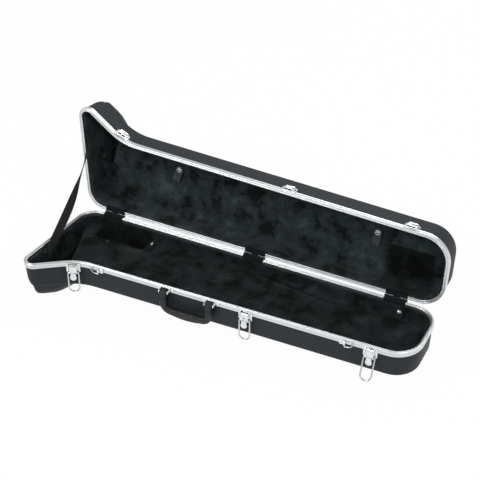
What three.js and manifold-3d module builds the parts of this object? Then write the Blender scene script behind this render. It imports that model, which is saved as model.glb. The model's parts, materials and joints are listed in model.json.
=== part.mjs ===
// Hard case for a slide trombone, lying on its base with the lid standing open.
// In the case's own frame the rims meet at z = 0, the hinge side is y = 0, the front
// is -y, and x runs from the bell end to the slim end. The case leans on its deep
// bell end, as it does on a table, by a tilt worked out from its depths.
// Lengths are millimetres.
import * as THREE from 'three';
import { mergeVertices } from 'three/addons/utils/BufferGeometryUtils.js';
import Module from 'manifold-3d';

const wasm = await Module();
wasm.setup();

// The plan of the case, over the rims, before its corners are rounded.
const caseLength = 948;
const bellEndWidth = 284;
const bellEndSlant = 37;
const neckFromEnd = 127;
const neckWidth = 197;
const slimEndWidth = 173.5;
const bellHingeCornerRadius = 50;
const bellFrontCornerRadius = 23.5;
const neckRadius = 123;
const slimFrontCornerRadius = 64;
const slimHingeCornerRadius = 57;
const openAngle = THREE.MathUtils.degToRad(98);

// Depths of the halves from their rims, and of the dome for the bell in both.
const halfDepth = 72.5;
const cornerDepth = 47;
const cornerRamp = 40;
const domeDepth = 116;
const domeEdgeWidth = 32;
const domeHingeEdge = 9;
const domeFadeStart = 54;
const domeFadeLength = 82;

// Moulded shells, and the metal rims that hold their edges.
const fitGap = 0.3;
const closedGap = 0.5;
const baseWall = 3.4;
const lidWall = 2;
const wallDraft = 2;
const shellEdgeRadius = 9;
const rimHeight = 11.2;
const rimWidth = 8.6;
const rimWall = 2.2;
const rimLip = 8;
const tongueWidth = 1.6;
const tongueHeight = 1.5;
const tongueClearance = 0.5;

// Linings: foam and plush inserts that drop into the shells. The lid's shell and its
// lining are thinner than the base's, so that the case doesn't tip over when it is open.
const baseLiningWall = 7;
const lidLiningWall = 4.5;
const liningEdgeRadius = 8;
const liningDraft = 3;
const baseFloorDepth = 31;
const lidFloorDepth = 64;
const wellBackX = 44;
const wellFrontX = 122;
const wellSlope = 26;
const pocketDepth = 58;
const pocketShares = [0.0907, 0.2331];
const pocketInset = 25;
const pocketWidth = 36;
const lidPocketDepth = 67.2;
const lidPocketShares = [0.8354, 0.9515];
const lidPocketInset = 25;
const lidPocketWidth = 68;
const pocketCornerRadius = 14;

// Three leaf hinges let into the rims: the outer two stand off from the ends of the
// straight hinge side, and the middle one is at a share of it.
const hingeStandOffs = [4.1, 25];
const hingeMiddleShare = 0.5026;
const hingeLength = 52;
const leafWall = 1;
const leafSink = 0.2;
const knuckleRadius = 2.4;
const knuckleGap = 0.5;
const pinRadius = 1.1;
const pinClearance = 0.25;
const pinHeadRadius = 2;
const pinHeadLength = 1.2;

// Draw latches on the base rim, at shares of the length.
const latchShares = [0.1255, 0.5854, 0.8966];
const latchWidth = 32;
const latchHeight = 25;
const latchTaper = 6.5;
const latchTopDrop = 0.8;
const latchBackWall = 1.6;
const cheekWall = 1.5;
const cheekReach = 9;
const cheekHeight = 17;
const cheekTaper = 5;
const latchPivotDrop = 6.5;
const latchPivotReach = 3.6;
const latchPinRadius = 1.2;
const leverEyeRadius = 2.6;
const leverWall = 1.8;
const leverWidth = 18;
const leverFlangeDepth = 6.4;
const leverBodyDrop = 22;
const leverHoleRadius = 2.8;
const fingerTabWidth = 15.5;
const fingerTabLength = 15.5;
const fingerTabKink = THREE.MathUtils.degToRad(9);

// Wire bails on the levers, and the keepers on the lid that they hook over.
const bailWire = 3.2;
const bailWidth = 28.6;
const bailDrop = 55.5;
const bailBendRadius = 12.4;
const bailEndRadius = 2.6;
const bailPivotBelow = 19;
const bailFloorGap = 0.6;
const keeperWidth = 36;
const keeperHeight = 25;
const keeperCornerRadius = 9;
const keeperWall = 1.5;
const keeperHookReach = 7;
const keeperHookWidth = 21;
const keeperHookRise = 17;
const keeperHookLip = 3.5;

// Carrying handle, and the brackets that hold its pins.
const handleShare = 0.4357;
const handleLegSpread = 114;
const handleLegWidth = 18;
const handleThickness = 17;
const handleDrop = 57;
const handleBelly = 4.5;
const gripHeight = 17.5;
const gripWaveDepth = 2;
const gripWaves = 4;
const handleEdge = 3;
const handleCornerRadius = 26;
const handleMouthRadius = 7;
const handlePinDrop = 6.4;
const handlePinReach = 11.2;
const handlePinRadius = 2;
const bracketWall = 1.6;
const bracketFlange = 10;
const bracketHeight = 10.2;

// Rings for a shoulder strap, on the front rim.
const ringShares = [0.1804, 0.8449];
const ringSides = [1, -1];
const ringWire = 2.6;
const ringHeight = 22;
const ringReach = 21;
const ringPlateWall = 1.4;
const ringPlateWidth = 13;
const ringPlateHeight = 13;
const ringPlateDrop = 1.5;
const ringEyeRadius = 2.9;
const ringEyeHeight = 9;

// Webbing stay that stops the lid, and the studs that hold it.
const stayWidth = 25;
const stayWall = 1.8;
const stayTwist = THREE.MathUtils.degToRad(50);
const stayTwistPower = 2.3;
const stayTurn = THREE.MathUtils.degToRad(26);
const stayBow = 12;
const stayBaseY = 184;
const stayLidY = 169;
const stayDrop = 17;
const studRadius = 6;
const studWall = 2;

// Snap straps for the instrument: two hang on the lid's floor, two lie in the base.
const tabShares = [0.2673, 0.8025];
const tabInsets = [139.4, 121.8];
const tabTurns = [THREE.MathUtils.degToRad(-17.5), THREE.MathUtils.degToRad(-6.7)];
const tabWidth = 20;
const tabLength = 44;
const tabSnapDrop = 10;
const tabSnapRadius = 6.8;
const strapWall = 2.2;
const strapWidth = 18;
const strapSnapDrop = 7.5;
const strapSnapRadius = 4.6;
const snapDomeShare = 0.76;
const snapHeight = 2.2;
const floorStrapShare = 0.2437;
const floorStrapInset = 24.5;
const floorStrapLength = 38;
const cornerStrapShare = 0.9051;
const cornerStrapInset = 15.5;
const cornerStrapDrop = 12;
const cornerStrapLength = 23.5;
const cornerStrapTurn = THREE.MathUtils.degToRad(50);

// Counts of steps and sides.
const cutOverrun = 2;
const weldDistance = 0.001;
const arcSteps = 5;
const flareSteps = 3;
const frontSteps = 7;
const crossSteps = 8;
const edgeSteps = 3;
const roundSides = 16;
const wireSides = 8;
const bailSteps = 36;
const ringSteps = 32;
const staySteps = 16;

// Sizes that follow from those above.
const shellInset = rimWall + fitGap;
const bottomInset = shellInset + wallDraft + shellEdgeRadius;
const lidWeb = tongueHeight + tongueClearance + rimWall;
const hingePinY = knuckleRadius + closedGap;
const slimContactX = caseLength - bottomInset;

// Finishes of the pieces.
const finish = (color, roughness, metalness) => {
  return () => new THREE.MeshStandardMaterial({ color, roughness, metalness });
};
const shellPlastic = finish(0x2f363a, 0.55, 0);
const aluminium = finish(0xd9dbdc, 0.35, 0.9);
const chrome = finish(0xd2d4d6, 0.18, 1);
const blackSteel = finish(0x1c1f21, 0.45, 0.5);
const plush = finish(0x15181a, 0.95, 0);
const leatherette = finish(0x3a4043, 0.6, 0);
const webbing = finish(0x2b2e30, 0.85, 0);

// Names a geometry as one piece of the case.
function piece(name, geometry, material, parent) {
  const mesh = new THREE.Mesh(geometry, material());
  mesh.name = name;
  parent.add(mesh);
  return mesh;
}

// Turns a closed geometry into a solid for cuts and joins.
function solid(geometry) {
  const bare = geometry.clone();
  bare.deleteAttribute('normal');
  bare.deleteAttribute('uv');
  const merged = mergeVertices(bare, weldDistance);
  return new wasm.Manifold(new wasm.Mesh({
    numProp: 3,
    vertProperties: new Float32Array(merged.attributes.position.array),
    triVerts: new Uint32Array(merged.index.array),
  }));
}

// Joins the added geometries and cuts the removed ones out of them.
function shaped(added, removed = []) {
  const whole = added.map(solid).reduce((a, b) => a.add(b));
  const mesh = removed.map(solid).reduce((a, b) => a.subtract(b), whole).getMesh();
  const geometry = new THREE.BufferGeometry();
  geometry.setAttribute('position', new THREE.BufferAttribute(mesh.vertProperties, 3));
  geometry.setIndex(new THREE.BufferAttribute(mesh.triVerts, 1));
  geometry.computeVertexNormals();
  return geometry;
}

// A block between two corners.
function block(x0, y0, z0, x1, y1, z1) {
  const box = new THREE.BoxGeometry(Math.abs(x1 - x0), Math.abs(y1 - y0), Math.abs(z1 - z0));
  return box.translate((x0 + x1) / 2, (y0 + y1) / 2, (z0 + z1) / 2);
}

// Round rods along x and z about a middle point.
function rodX(radius, length, x, y, z) {
  const rod = new THREE.CylinderGeometry(radius, radius, length, roundSides);
  return rod.rotateZ(Math.PI / 2).translate(x, y, z);
}

function rodZ(radius, length, x, y, z) {
  const rod = new THREE.CylinderGeometry(radius, radius, length, roundSides);
  return rod.rotateX(Math.PI / 2).translate(x, y, z);
}

// A profile in y and z, extruded along x about the middle.
function sideProfile(points, width) {
  const shape = new THREE.Shape(points.map(([y, z]) => new THREE.Vector2(y, z)));
  const geometry = new THREE.ExtrudeGeometry(shape, { depth: width, bevelEnabled: false });
  const axes = new THREE.Matrix4().makeBasis(
    new THREE.Vector3(0, 1, 0),
    new THREE.Vector3(0, 0, 1),
    new THREE.Vector3(1, 0, 0),
  );
  return geometry.translate(0, 0, -width / 2).applyMatrix4(axes);
}

// A shape in x and z, extruded outwards from the front, along -y.
function frontPlate(shape, thickness, y) {
  const geometry = new THREE.ExtrudeGeometry(shape, {
    depth: thickness,
    bevelEnabled: false,
    curveSegments: wireSides,
  });
  const axes = new THREE.Matrix4().makeBasis(
    new THREE.Vector3(1, 0, 0),
    new THREE.Vector3(0, 0, 1),
    new THREE.Vector3(0, -1, 0),
  );
  return geometry.applyMatrix4(axes).translate(0, y, 0);
}

// Round wire bent along a path.
function wire(path, diameter, steps) {
  const section = new THREE.Shape().absarc(0, 0, diameter / 2, 0, 2 * Math.PI);
  return new THREE.ExtrudeGeometry(section, {
    steps,
    curveSegments: wireSides / 2,
    extrudePath: path,
  });
}

// The five corners of the plan, from the hinge corner of the bell end round the front.
const planCorners = [
  new THREE.Vector2(bellEndSlant, 0),
  new THREE.Vector2(0, -bellEndWidth),
  new THREE.Vector2(neckFromEnd, -neckWidth),
  new THREE.Vector2(caseLength, -slimEndWidth),
  new THREE.Vector2(caseLength, 0),
];
const planRadii = [
  bellHingeCornerRadius,
  bellFrontCornerRadius,
  neckRadius,
  slimFrontCornerRadius,
  slimHingeCornerRadius,
];

// One corner of the plan moved inwards by the inset.
function insetCorner(index, inset) {
  const before = planCorners[(index + 4) % 5];
  const corner = planCorners[index];
  const after = planCorners[(index + 1) % 5];
  const inwards = (a, b) => new THREE.Vector2(a.y - b.y, b.x - a.x).normalize();
  const first = inwards(before, corner);
  const second = inwards(corner, after);
  const step = inset / (1 + first.dot(second));
  return corner.clone().addScaledVector(first.add(second), step);
}

// Points of the arc that rounds corner b between a and c.
function cornerArc(a, b, c, radius) {
  const toA = a.clone().sub(b).normalize();
  const toC = c.clone().sub(b).normalize();
  const half = Math.acos(toA.dot(toC)) / 2;
  const middle = toA.clone().add(toC).normalize();
  const centre = b.clone().addScaledVector(middle, radius / Math.sin(half));
  const start = b.clone().addScaledVector(toA, radius / Math.tan(half)).sub(centre);
  const end = b.clone().addScaledVector(toC, radius / Math.tan(half)).sub(centre);
  const sweep = Math.PI - 2 * half;
  const points = [];
  for (let step = 0; step <= arcSteps; step += 1) {
    const share = step / arcSteps;
    const point = centre.clone();
    point.addScaledVector(start, Math.sin((1 - share) * sweep) / Math.sin(sweep));
    point.addScaledVector(end, Math.sin(share * sweep) / Math.sin(sweep));
    points.push(point);
  }
  return points;
}

// Points between two others, without the ends.
function between(a, b, steps) {
  const points = [];
  for (let step = 1; step < steps; step += 1) {
    points.push(a.clone().lerp(b, step / steps));
  }
  return points;
}

// The plan at an inset, as matching points of the hinge side and the front.
function planAt(inset) {
  const corners = planCorners.map((corner, index) => insetCorner(index, inset));
  const arcs = corners.map((corner, index) => {
    const hollow = index === 2 ? 1 : -1;
    const radius = planRadii[index] + hollow * inset;
    return cornerArc(corners[(index + 4) % 5], corner, corners[(index + 1) % 5], radius);
  });
  const [hingeBell, frontBell, neck, frontSlim, hingeSlim] = arcs;
  const front = [
    ...frontBell,
    ...between(frontBell.at(-1), neck[0], flareSteps),
    ...neck,
    ...between(neck.at(-1), frontSlim[0], frontSteps),
    ...frontSlim,
  ];
  const from = front[arcSteps];
  const to = front[front.length - 1 - arcSteps];
  const hinge = front.map((point, index) => {
    if (index <= arcSteps) {
      return hingeBell[arcSteps - index];
    }
    if (index >= front.length - 1 - arcSteps) {
      return hingeSlim[front.length - 1 - index];
    }
    return hingeBell[0].clone().lerp(hingeSlim.at(-1), (point.x - from.x) / (to.x - from.x));
  });
  return { front, hinge };
}

// Middles of the hinges along the hinge side.
const straightSide = [planAt(0).hinge[arcSteps].x, planAt(0).hinge.at(-1 - arcSteps).x];
const hingeCentres = [
  straightSide[0] + hingeStandOffs[0] + hingeLength / 2,
  THREE.MathUtils.lerp(straightSide[0], straightSide[1], hingeMiddleShare),
  straightSide[1] - hingeStandOffs[1] - hingeLength / 2,
];

// A point of the plan: the station along the case, and the step across it.
function planPoint(plan, station, step) {
  const share = (1 - Math.cos(Math.PI * step / crossSteps)) / 2;
  return plan.hinge[station].clone().lerp(plan.front[station], share);
}

// Stations and steps of the plan's edge, anticlockwise seen from above.
const lastStation = planAt(0).front.length - 1;
const edgeOrder = [];
for (let step = 0; step < crossSteps; step += 1) {
  edgeOrder.push([0, step]);
}
for (let station = 0; station < lastStation; station += 1) {
  edgeOrder.push([station, crossSteps]);
}
for (let step = crossSteps; step > 0; step -= 1) {
  edgeOrder.push([lastStation, step]);
}
for (let station = lastStation; station > 0; station -= 1) {
  edgeOrder.push([station, 0]);
}
const planEdge = (inset) => {
  const plan = planAt(inset);
  return edgeOrder.map(([station, step]) => planPoint(plan, station, step));
};

// Distance from a point to a closed line.
function distanceTo(line, point) {
  let nearest = Infinity;
  line.forEach((a, index) => {
    const along = line[(index + 1) % line.length].clone().sub(a);
    const offset = point.clone().sub(a);
    const share = THREE.MathUtils.clamp(offset.dot(along) / along.lengthSq(), 0, 1);
    nearest = Math.min(nearest, offset.addScaledVector(along, -share).length());
  });
  return nearest;
}

// Depth of a half's edge: its full depth, but less at the front corner of the bell end.
const edgeDepth = (x) => {
  return THREE.MathUtils.lerp(cornerDepth, halfDepth, THREE.MathUtils.smoothstep(x, 0, cornerRamp));
};

// Depth of a half's outer surface at a point, less a wall, with the dome for the bell.
const bottomEdge = planEdge(bottomInset);
function undersideDepth(point, wall) {
  const reach = Math.max(0, distanceTo(bottomEdge, point) - wall);
  const fromHinge = -point.y - bottomInset - domeHingeEdge;
  const widening = THREE.MathUtils.smoothstep(fromHinge, 0, bellEndWidth / 2);
  const edge = THREE.MathUtils.lerp(domeHingeEdge, domeEdgeWidth, widening);
  const bulge = Math.sqrt(1 - (1 - Math.min(1, reach / edge)) ** 2);
  const fade = THREE.MathUtils.clamp((point.x - domeFadeStart) / domeFadeLength, 0, 1);
  const share = bulge * Math.cos(fade * Math.PI / 2) ** 2;
  return THREE.MathUtils.lerp(edgeDepth(point.x), domeDepth, share) - wall;
}

// The case lies tilted on its dome and on the bottom edge of its slim end.
const bottomPlan = planAt(bottomInset);
let steepest = 0;
for (let station = 0; station <= lastStation; station += 1) {
  for (let step = 0; step <= crossSteps; step += 1) {
    const point = planPoint(bottomPlan, station, step);
    if (point.x < neckFromEnd) {
      const drop = undersideDepth(point, 0) - halfDepth;
      steepest = Math.max(steepest, drop / (slimContactX - point.x));
    }
  }
}
const tilt = Math.atan(steepest);
const lyingCase = new THREE.Group();
lyingCase.rotation.y = tilt;
const lid = new THREE.Group();
lid.position.set(0, hingePinY, closedGap / 2);
lid.rotation.x = -openAngle;
const closedLid = new THREE.Group();
closedLid.position.set(0, -hingePinY, -closedGap / 2);
lid.add(closedLid);
lyingCase.add(lid);

// Builds a surface of the tray: wall rings from the rim down, then the floor.
// Each ring has an inset and a depth that may change over the plan.
function traySurface(rings, floor) {
  const positions = [];
  const triangles = [];
  rings.forEach(({ inset, depth }) => {
    planEdge(inset).forEach((point) => positions.push(point.x, point.y, -depth(point)));
  });
  const count = edgeOrder.length;
  for (let ring = 0; ring + 1 < rings.length; ring += 1) {
    for (let index = 0; index < count; index += 1) {
      const a = ring * count + index;
      const b = ring * count + (index + 1) % count;
      triangles.push(a, a + count, b + count, a, b + count, b);
    }
  }
  const first = positions.length / 3;
  const plan = planAt(rings.at(-1).inset);
  for (let station = 0; station <= lastStation; station += 1) {
    for (let step = 0; step <= crossSteps; step += 1) {
      const point = planPoint(plan, station, step);
      positions.push(point.x, point.y, -floor(point));
    }
  }
  const row = crossSteps + 1;
  for (let station = 0; station < lastStation; station += 1) {
    for (let step = 0; step < crossSteps; step += 1) {
      const a = first + station * row + step;
      triangles.push(a, a + row, a + row + 1, a, a + row + 1, a + 1);
    }
  }
  return { positions, triangles };
}

// Closes an outer and an inner surface into one moulded tray.
function tray(outer, inner, mirrored) {
  const count = edgeOrder.length;
  const start = outer.positions.length / 3;
  const positions = [...outer.positions, ...inner.positions];
  const triangles = [...outer.triangles];
  for (let index = 0; index < inner.triangles.length; index += 3) {
    const [a, b, c] = inner.triangles.slice(index, index + 3);
    triangles.push(a + start, c + start, b + start);
  }
  for (let index = 0; index < count; index += 1) {
    const next = (index + 1) % count;
    triangles.push(index, next, next + start, index, next + start, index + start);
  }
  const geometry = new THREE.BufferGeometry();
  geometry.setAttribute('position', new THREE.Float32BufferAttribute(positions, 3));
  geometry.setIndex(triangles);
  return mirrored ? mirror(geometry) : geometry;
}

// Turns a base piece over into the matching lid piece, a closed gap above it.
function mirror(geometry) {
  geometry.scale(1, 1, -1).translate(0, 0, closedGap);
  const index = geometry.getIndex().array;
  for (let corner = 0; corner < index.length; corner += 3) {
    [index[corner + 1], index[corner + 2]] = [index[corner + 2], index[corner + 1]];
  }
  return geometry;
}

// Rings of a wall that runs down to a rounded bottom edge.
function wallRings(inset, top, draft, radius, depthAt) {
  const rings = [{ inset, depth: () => top }, { inset, depth: () => rimHeight }];
  for (let step = 0; step <= edgeSteps; step += 1) {
    const angle = Math.PI / 2 * step / edgeSteps;
    rings.push({
      inset: inset + draft + radius * (1 - Math.cos(angle)),
      depth: (point) => depthAt(point) - radius * (1 - Math.sin(angle)),
    });
  }
  return rings;
}

// A vacuum-formed shell.
function shellGeometry(top, wall, mirrored) {
  const surface = (inwards) => {
    const radius = shellEdgeRadius - inwards;
    const edge = (point) => edgeDepth(point.x) - inwards;
    return traySurface(
      wallRings(shellInset + inwards, top, wallDraft, radius, edge),
      (point) => undersideDepth(point, inwards),
    );
  };
  return tray(surface(0), surface(wall), mirrored);
}

// Share of the well for the bell: everything past a slanting line across the case.
function wellShare(point) {
  const line = THREE.MathUtils.lerp(wellBackX, wellFrontX, -point.y / bellEndWidth);
  return 1 - THREE.MathUtils.smoothstep(point.x, line - wellSlope, line);
}

// Depth of a lining's floor: flat, and following the dome in the well.
const liningFloor = (flat, walls) => (point) => {
  return THREE.MathUtils.lerp(flat, undersideDepth(point, walls + fitGap), wellShare(point));
};
const baseFloor = liningFloor(baseFloorDepth, baseWall + baseLiningWall);
const lidFloor = liningFloor(lidFloorDepth, lidWall + lidLiningWall);

// The room of a pocket below a floor: a block with round corners.
function pocketRoom(shares, inset, width, floor, depth) {
  const radius = pocketCornerRadius;
  const [start, end] = shares.map((share) => share * caseLength);
  const near = -inset;
  const far = -inset - width;
  const outline = new THREE.Shape();
  outline.absarc(start + radius, far + radius, radius, Math.PI, 3 * Math.PI / 2, false);
  outline.absarc(end - radius, far + radius, radius, 3 * Math.PI / 2, 2 * Math.PI, false);
  outline.absarc(end - radius, near - radius, radius, 0, Math.PI / 2, false);
  outline.absarc(start + radius, near - radius, radius, Math.PI / 2, Math.PI, false);
  const height = depth - floor + cutOverrun;
  const room = new THREE.ExtrudeGeometry(outline, {
    depth: height,
    bevelEnabled: false,
    curveSegments: arcSteps,
  });
  return room.translate(0, 0, -depth);
}

// A foam and plush insert that fills its shell up to the lip of the rim.
function liningGeometry(shellWall, liningWall, floorAt, pocket, mirrored) {
  const top = rimLip + fitGap;
  const wall = shellWall + fitGap;
  const edge = (point) => edgeDepth(point.x) - wall;
  const outer = traySurface(
    wallRings(shellInset + wall, top, wallDraft, shellEdgeRadius - wall, edge),
    (point) => undersideDepth(point, wall),
  );
  const inner = traySurface(
    wallRings(shellInset + wall + liningWall, top, liningDraft, liningEdgeRadius, floorAt),
    floorAt,
  );
  const insert = shaped([tray(outer, inner, false)], [pocket]);
  return mirrored ? mirror(insert) : insert;
}

// A closed ring of the plan with the profile given as insets and heights.
function rimRing(profile, mirrored) {
  const count = edgeOrder.length;
  const positions = [];
  const triangles = [];
  profile.forEach(([inset, height]) => {
    planEdge(inset).forEach((point) => positions.push(point.x, point.y, height));
  });
  profile.forEach((corner, line) => {
    const next = (line + 1) % profile.length;
    for (let index = 0; index < count; index += 1) {
      const a = line * count + index;
      const b = line * count + (index + 1) % count;
      const c = next * count + (index + 1) % count;
      const d = next * count + index;
      triangles.push(a, c, b, a, d, c);
    }
  });
  const geometry = new THREE.BufferGeometry();
  geometry.setAttribute('position', new THREE.Float32BufferAttribute(positions, 3));
  geometry.setIndex(triangles);
  return mirrored ? mirror(geometry) : geometry;
}

// A point of the front line of the rim's outer face.
const frontLine = planAt(0).front;
function frontPoint(x) {
  const after = frontLine.findIndex((point, index) => index > arcSteps && point.x > x);
  const a = frontLine[after - 1];
  const b = frontLine[after];
  return a.clone().lerp(b, (x - a.x) / (b.x - a.x));
}

// A place on the front of the rim for something of the width given: its -y axis
// points outwards and its origin touches the rim where that stands out most.
function rimPlace(x, width, parent) {
  const here = frontPoint(x);
  const left = frontPoint(x - width / 2);
  const right = frontPoint(x + width / 2);
  const angle = Math.atan2(right.y - left.y, right.x - left.x);
  const outwards = new THREE.Vector2(Math.sin(angle), -Math.cos(angle));
  let bulge = 0;
  for (let share = 0; share <= 1; share += 1 / roundSides) {
    const point = frontPoint(x + (share - 1 / 2) * width).sub(here);
    bulge = Math.max(bulge, point.dot(outwards));
  }
  here.addScaledVector(outwards, bulge);
  const group = new THREE.Group();
  group.position.set(here.x, here.y, 0);
  group.rotation.z = angle;
  parent.add(group);
  return group;
}

// Shells, rims and linings of the two halves.
const baseTop = rimWall + fitGap;
const lidTop = lidWeb + fitGap;
piece('base_shell', shellGeometry(baseTop, baseWall, false), shellPlastic, lyingCase);
piece('lid_shell', shellGeometry(lidTop, lidWall, true), shellPlastic, closedLid);
const basePocket = pocketRoom(
  pocketShares,
  pocketInset,
  pocketWidth,
  baseFloorDepth,
  pocketDepth,
);
const lidPocket = pocketRoom(
  lidPocketShares,
  lidPocketInset,
  lidPocketWidth,
  lidFloorDepth,
  lidPocketDepth,
);
const baseInsert = liningGeometry(baseWall, baseLiningWall, baseFloor, basePocket, false);
const lidInsert = liningGeometry(lidWall, lidLiningWall, lidFloor, lidPocket, true);
piece('base_lining', baseInsert, plush, lyingCase);
piece('lid_lining', lidInsert, plush, closedLid);

const tongueInset = (rimWidth - tongueWidth) / 2;
const grooveInset = tongueInset - tongueClearance;
const notches = (side) => hingeCentres.map((x) => {
  const sunk = leafSink + leafWall + fitGap;
  const bottom = side > 0 ? closedGap - cutOverrun : -sunk;
  const top = side > 0 ? closedGap + sunk : tongueHeight + cutOverrun;
  const half = hingeLength / 2 + fitGap;
  return block(x - half, -rimWidth - cutOverrun, bottom, x + half, cutOverrun, top);
});
const baseRim = rimRing([
  [0, -rimHeight],
  [rimWall, -rimHeight],
  [rimWall, -rimWall],
  [rimWidth - rimWall, -rimWall],
  [rimWidth - rimWall, -rimLip],
  [rimWidth, -rimLip],
  [rimWidth, 0],
  [rimWidth - tongueInset, 0],
  [rimWidth - tongueInset, tongueHeight],
  [tongueInset, tongueHeight],
  [tongueInset, 0],
  [0, 0],
], false);
const lidRim = rimRing([
  [0, -rimHeight],
  [rimWall, -rimHeight],
  [rimWall, -lidWeb],
  [rimWidth - rimWall, -lidWeb],
  [rimWidth - rimWall, -rimLip],
  [rimWidth, -rimLip],
  [rimWidth, 0],
  [rimWidth - grooveInset, 0],
  [rimWidth - grooveInset, -tongueHeight - tongueClearance],
  [grooveInset, -tongueHeight - tongueClearance],
  [grooveInset, 0],
  [0, 0],
], true);
piece('base_rim', shaped([baseRim], notches(-1)), aluminium, lyingCase);
piece('lid_rim', shaped([lidRim], notches(1)), aluminium, closedLid);

// One hinge leaf: a plate over the rim, turned down inside it, and its knuckles.
const knuckleLength = (hingeLength - 2 * knuckleGap) / 3;
function hingeLeaf(knuckles, others, mirrored) {
  const top = -leafSink;
  const inner = -rimWidth - fitGap;
  const leaf = sideProfile([
    [hingePinY - knuckleRadius / 2, top],
    [inner - leafWall, top],
    [inner - leafWall, -rimLip],
    [inner, -rimLip],
    [inner, top - leafWall],
    [hingePinY - knuckleRadius / 2, top - leafWall],
  ], hingeLength);
  const place = (index) => (index - 1) * (knuckleLength + knuckleGap);
  const rolls = knuckles.map((index) => {
    return rodX(knuckleRadius, knuckleLength, place(index), hingePinY, closedGap / 2);
  });
  const room = others.map((index) => {
    const half = knuckleLength / 2 + knuckleGap * (index === 1 ? 1 : 2);
    const reach = hingePinY + cutOverrun;
    return block(place(index) - half, 0, -cutOverrun, place(index) + half, reach, cutOverrun);
  });
  const holeRadius = pinRadius + pinClearance;
  const bore = rodX(holeRadius, hingeLength + cutOverrun, 0, hingePinY, closedGap / 2);
  const plate = shaped([leaf], room);
  const whole = shaped([plate, ...rolls], [bore]);
  return mirrored ? mirror(whole) : whole;
}

hingeCentres.forEach((x, index) => {
  const number = index + 1;
  const baseLeaf = hingeLeaf([0, 2], [1], false).translate(x, 0, 0);
  const lidLeaf = hingeLeaf([1], [0, 2], true).translate(x, 0, 0);
  piece(`hinge_${number}_base_leaf`, baseLeaf, blackSteel, lyingCase);
  piece(`hinge_${number}_lid_leaf`, lidLeaf, blackSteel, closedLid);
  const headX = hingeLength / 2 + fitGap + pinHeadLength / 2;
  const pin = shaped([
    rodX(pinRadius, 2 * headX, 0, 0, 0),
    rodX(pinHeadRadius, pinHeadLength, -headX, 0, 0),
    rodX(pinHeadRadius, pinHeadLength, headX, 0, 0),
  ]);
  piece(`hinge_${number}_pin`, pin.translate(x, hingePinY, closedGap / 2), blackSteel, lyingCase);
});

// Distance the shell's wall stands back from the rim's outer face at a depth.
function wallBack(depth) {
  const run = halfDepth - shellEdgeRadius - rimHeight;
  return shellInset + wallDraft * Math.max(0, depth - rimHeight) / run;
}

// Height of the table below the rims at a place along the case.
const tableDepth = (x) => halfDepth + (slimContactX - x) * Math.tan(tilt);

// A draw latch: the back plate with its cheeks and pin, the lever, and the bail.
const bailPivotDepth = latchPivotDrop + bailPivotBelow;
const leverHalf = leverWidth / 2;
const pivotY = -fitGap - latchBackWall - latchPivotReach;

function latchPlate() {
  const back = -fitGap;
  const face = back - latchBackWall;
  const bottom = -latchTopDrop - latchHeight;
  const half = latchWidth / 2;
  const outline = new THREE.Shape();
  outline.moveTo(-half, -latchTopDrop);
  outline.lineTo(-half, bottom + latchTaper);
  outline.lineTo(latchTaper - half, bottom);
  outline.lineTo(half - latchTaper, bottom);
  outline.lineTo(half, bottom + latchTaper);
  outline.lineTo(half, -latchTopDrop);
  const plate = frontPlate(outline, latchBackWall, back);
  const seatTop = -rimHeight - fitGap;
  const seat = sideProfile([
    [back - latchBackWall / 2, seatTop],
    [back - latchBackWall / 2, bottom],
    [wallBack(-bottom) - fitGap * 2, bottom],
    [wallBack(-seatTop) - fitGap * 2, seatTop],
  ], latchWidth - 2 * latchTaper);
  const foot = -latchTopDrop - cheekHeight;
  const cheek = (side) => {
    const edge = sideProfile([
      [face + fitGap, -latchTopDrop],
      [face - cheekReach + cheekWall, -latchTopDrop],
      [face - cheekReach, -latchTopDrop - cheekWall],
      [face - cheekReach, foot + cheekTaper],
      [face - cheekReach + cheekTaper, foot],
      [face + fitGap, foot],
    ], cheekWall);
    return edge.translate(side * (leverHalf + fitGap + cheekWall / 2), 0, 0);
  };
  const pin = rodX(latchPinRadius, leverWidth + cheekWall, 0, pivotY, -latchPivotDrop);
  return shaped([plate, seat, cheek(-1), cheek(1), pin]);
}

function latchLever() {
  const face = new THREE.Shape();
  face.moveTo(-leverHalf, 0);
  face.lineTo(-leverHalf, -leverBodyDrop);
  face.lineTo(leverHalf, -leverBodyDrop);
  face.lineTo(leverHalf, 0);
  const hole = new THREE.Path().absarc(0, -leverBodyDrop / 2, leverHoleRadius, 0, 2 * Math.PI, true);
  face.holes.push(hole);
  const outside = leverFlangeDepth - leverEyeRadius;
  const body = frontPlate(face, leverWall, -outside + leverWall);
  const flange = (side) => {
    const edge = sideProfile([
      [leverEyeRadius, 0],
      [-outside, 0],
      [-outside, -leverBodyDrop],
      [leverEyeRadius, -leverBodyDrop],
    ], leverWall);
    return edge.translate(side * (leverHalf - leverWall / 2), 0, 0);
  };
  const eye = rodX(leverEyeRadius, leverWidth, 0, 0, 0);
  const tab = new THREE.Shape();
  const round = fingerTabWidth / 2;
  tab.moveTo(-round, leverWall);
  tab.lineTo(-round, round - fingerTabLength);
  tab.absarc(0, round - fingerTabLength, round, Math.PI, 2 * Math.PI, false);
  tab.lineTo(round, leverWall);
  const finger = frontPlate(tab, leverWall, 0).rotateX(-fingerTabKink);
  finger.translate(0, -outside + leverWall, -leverBodyDrop);
  const pinHole = rodX(latchPinRadius + pinClearance, leverWidth + cutOverrun, 0, 0, 0);
  const bailHole = rodX(bailWire / 2 + pinClearance, leverWidth + cutOverrun, 0, 0, -bailPivotBelow);
  return shaped([body, flange(-1), flange(1), eye, finger], [pinHole, bailHole]);
}

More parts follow.
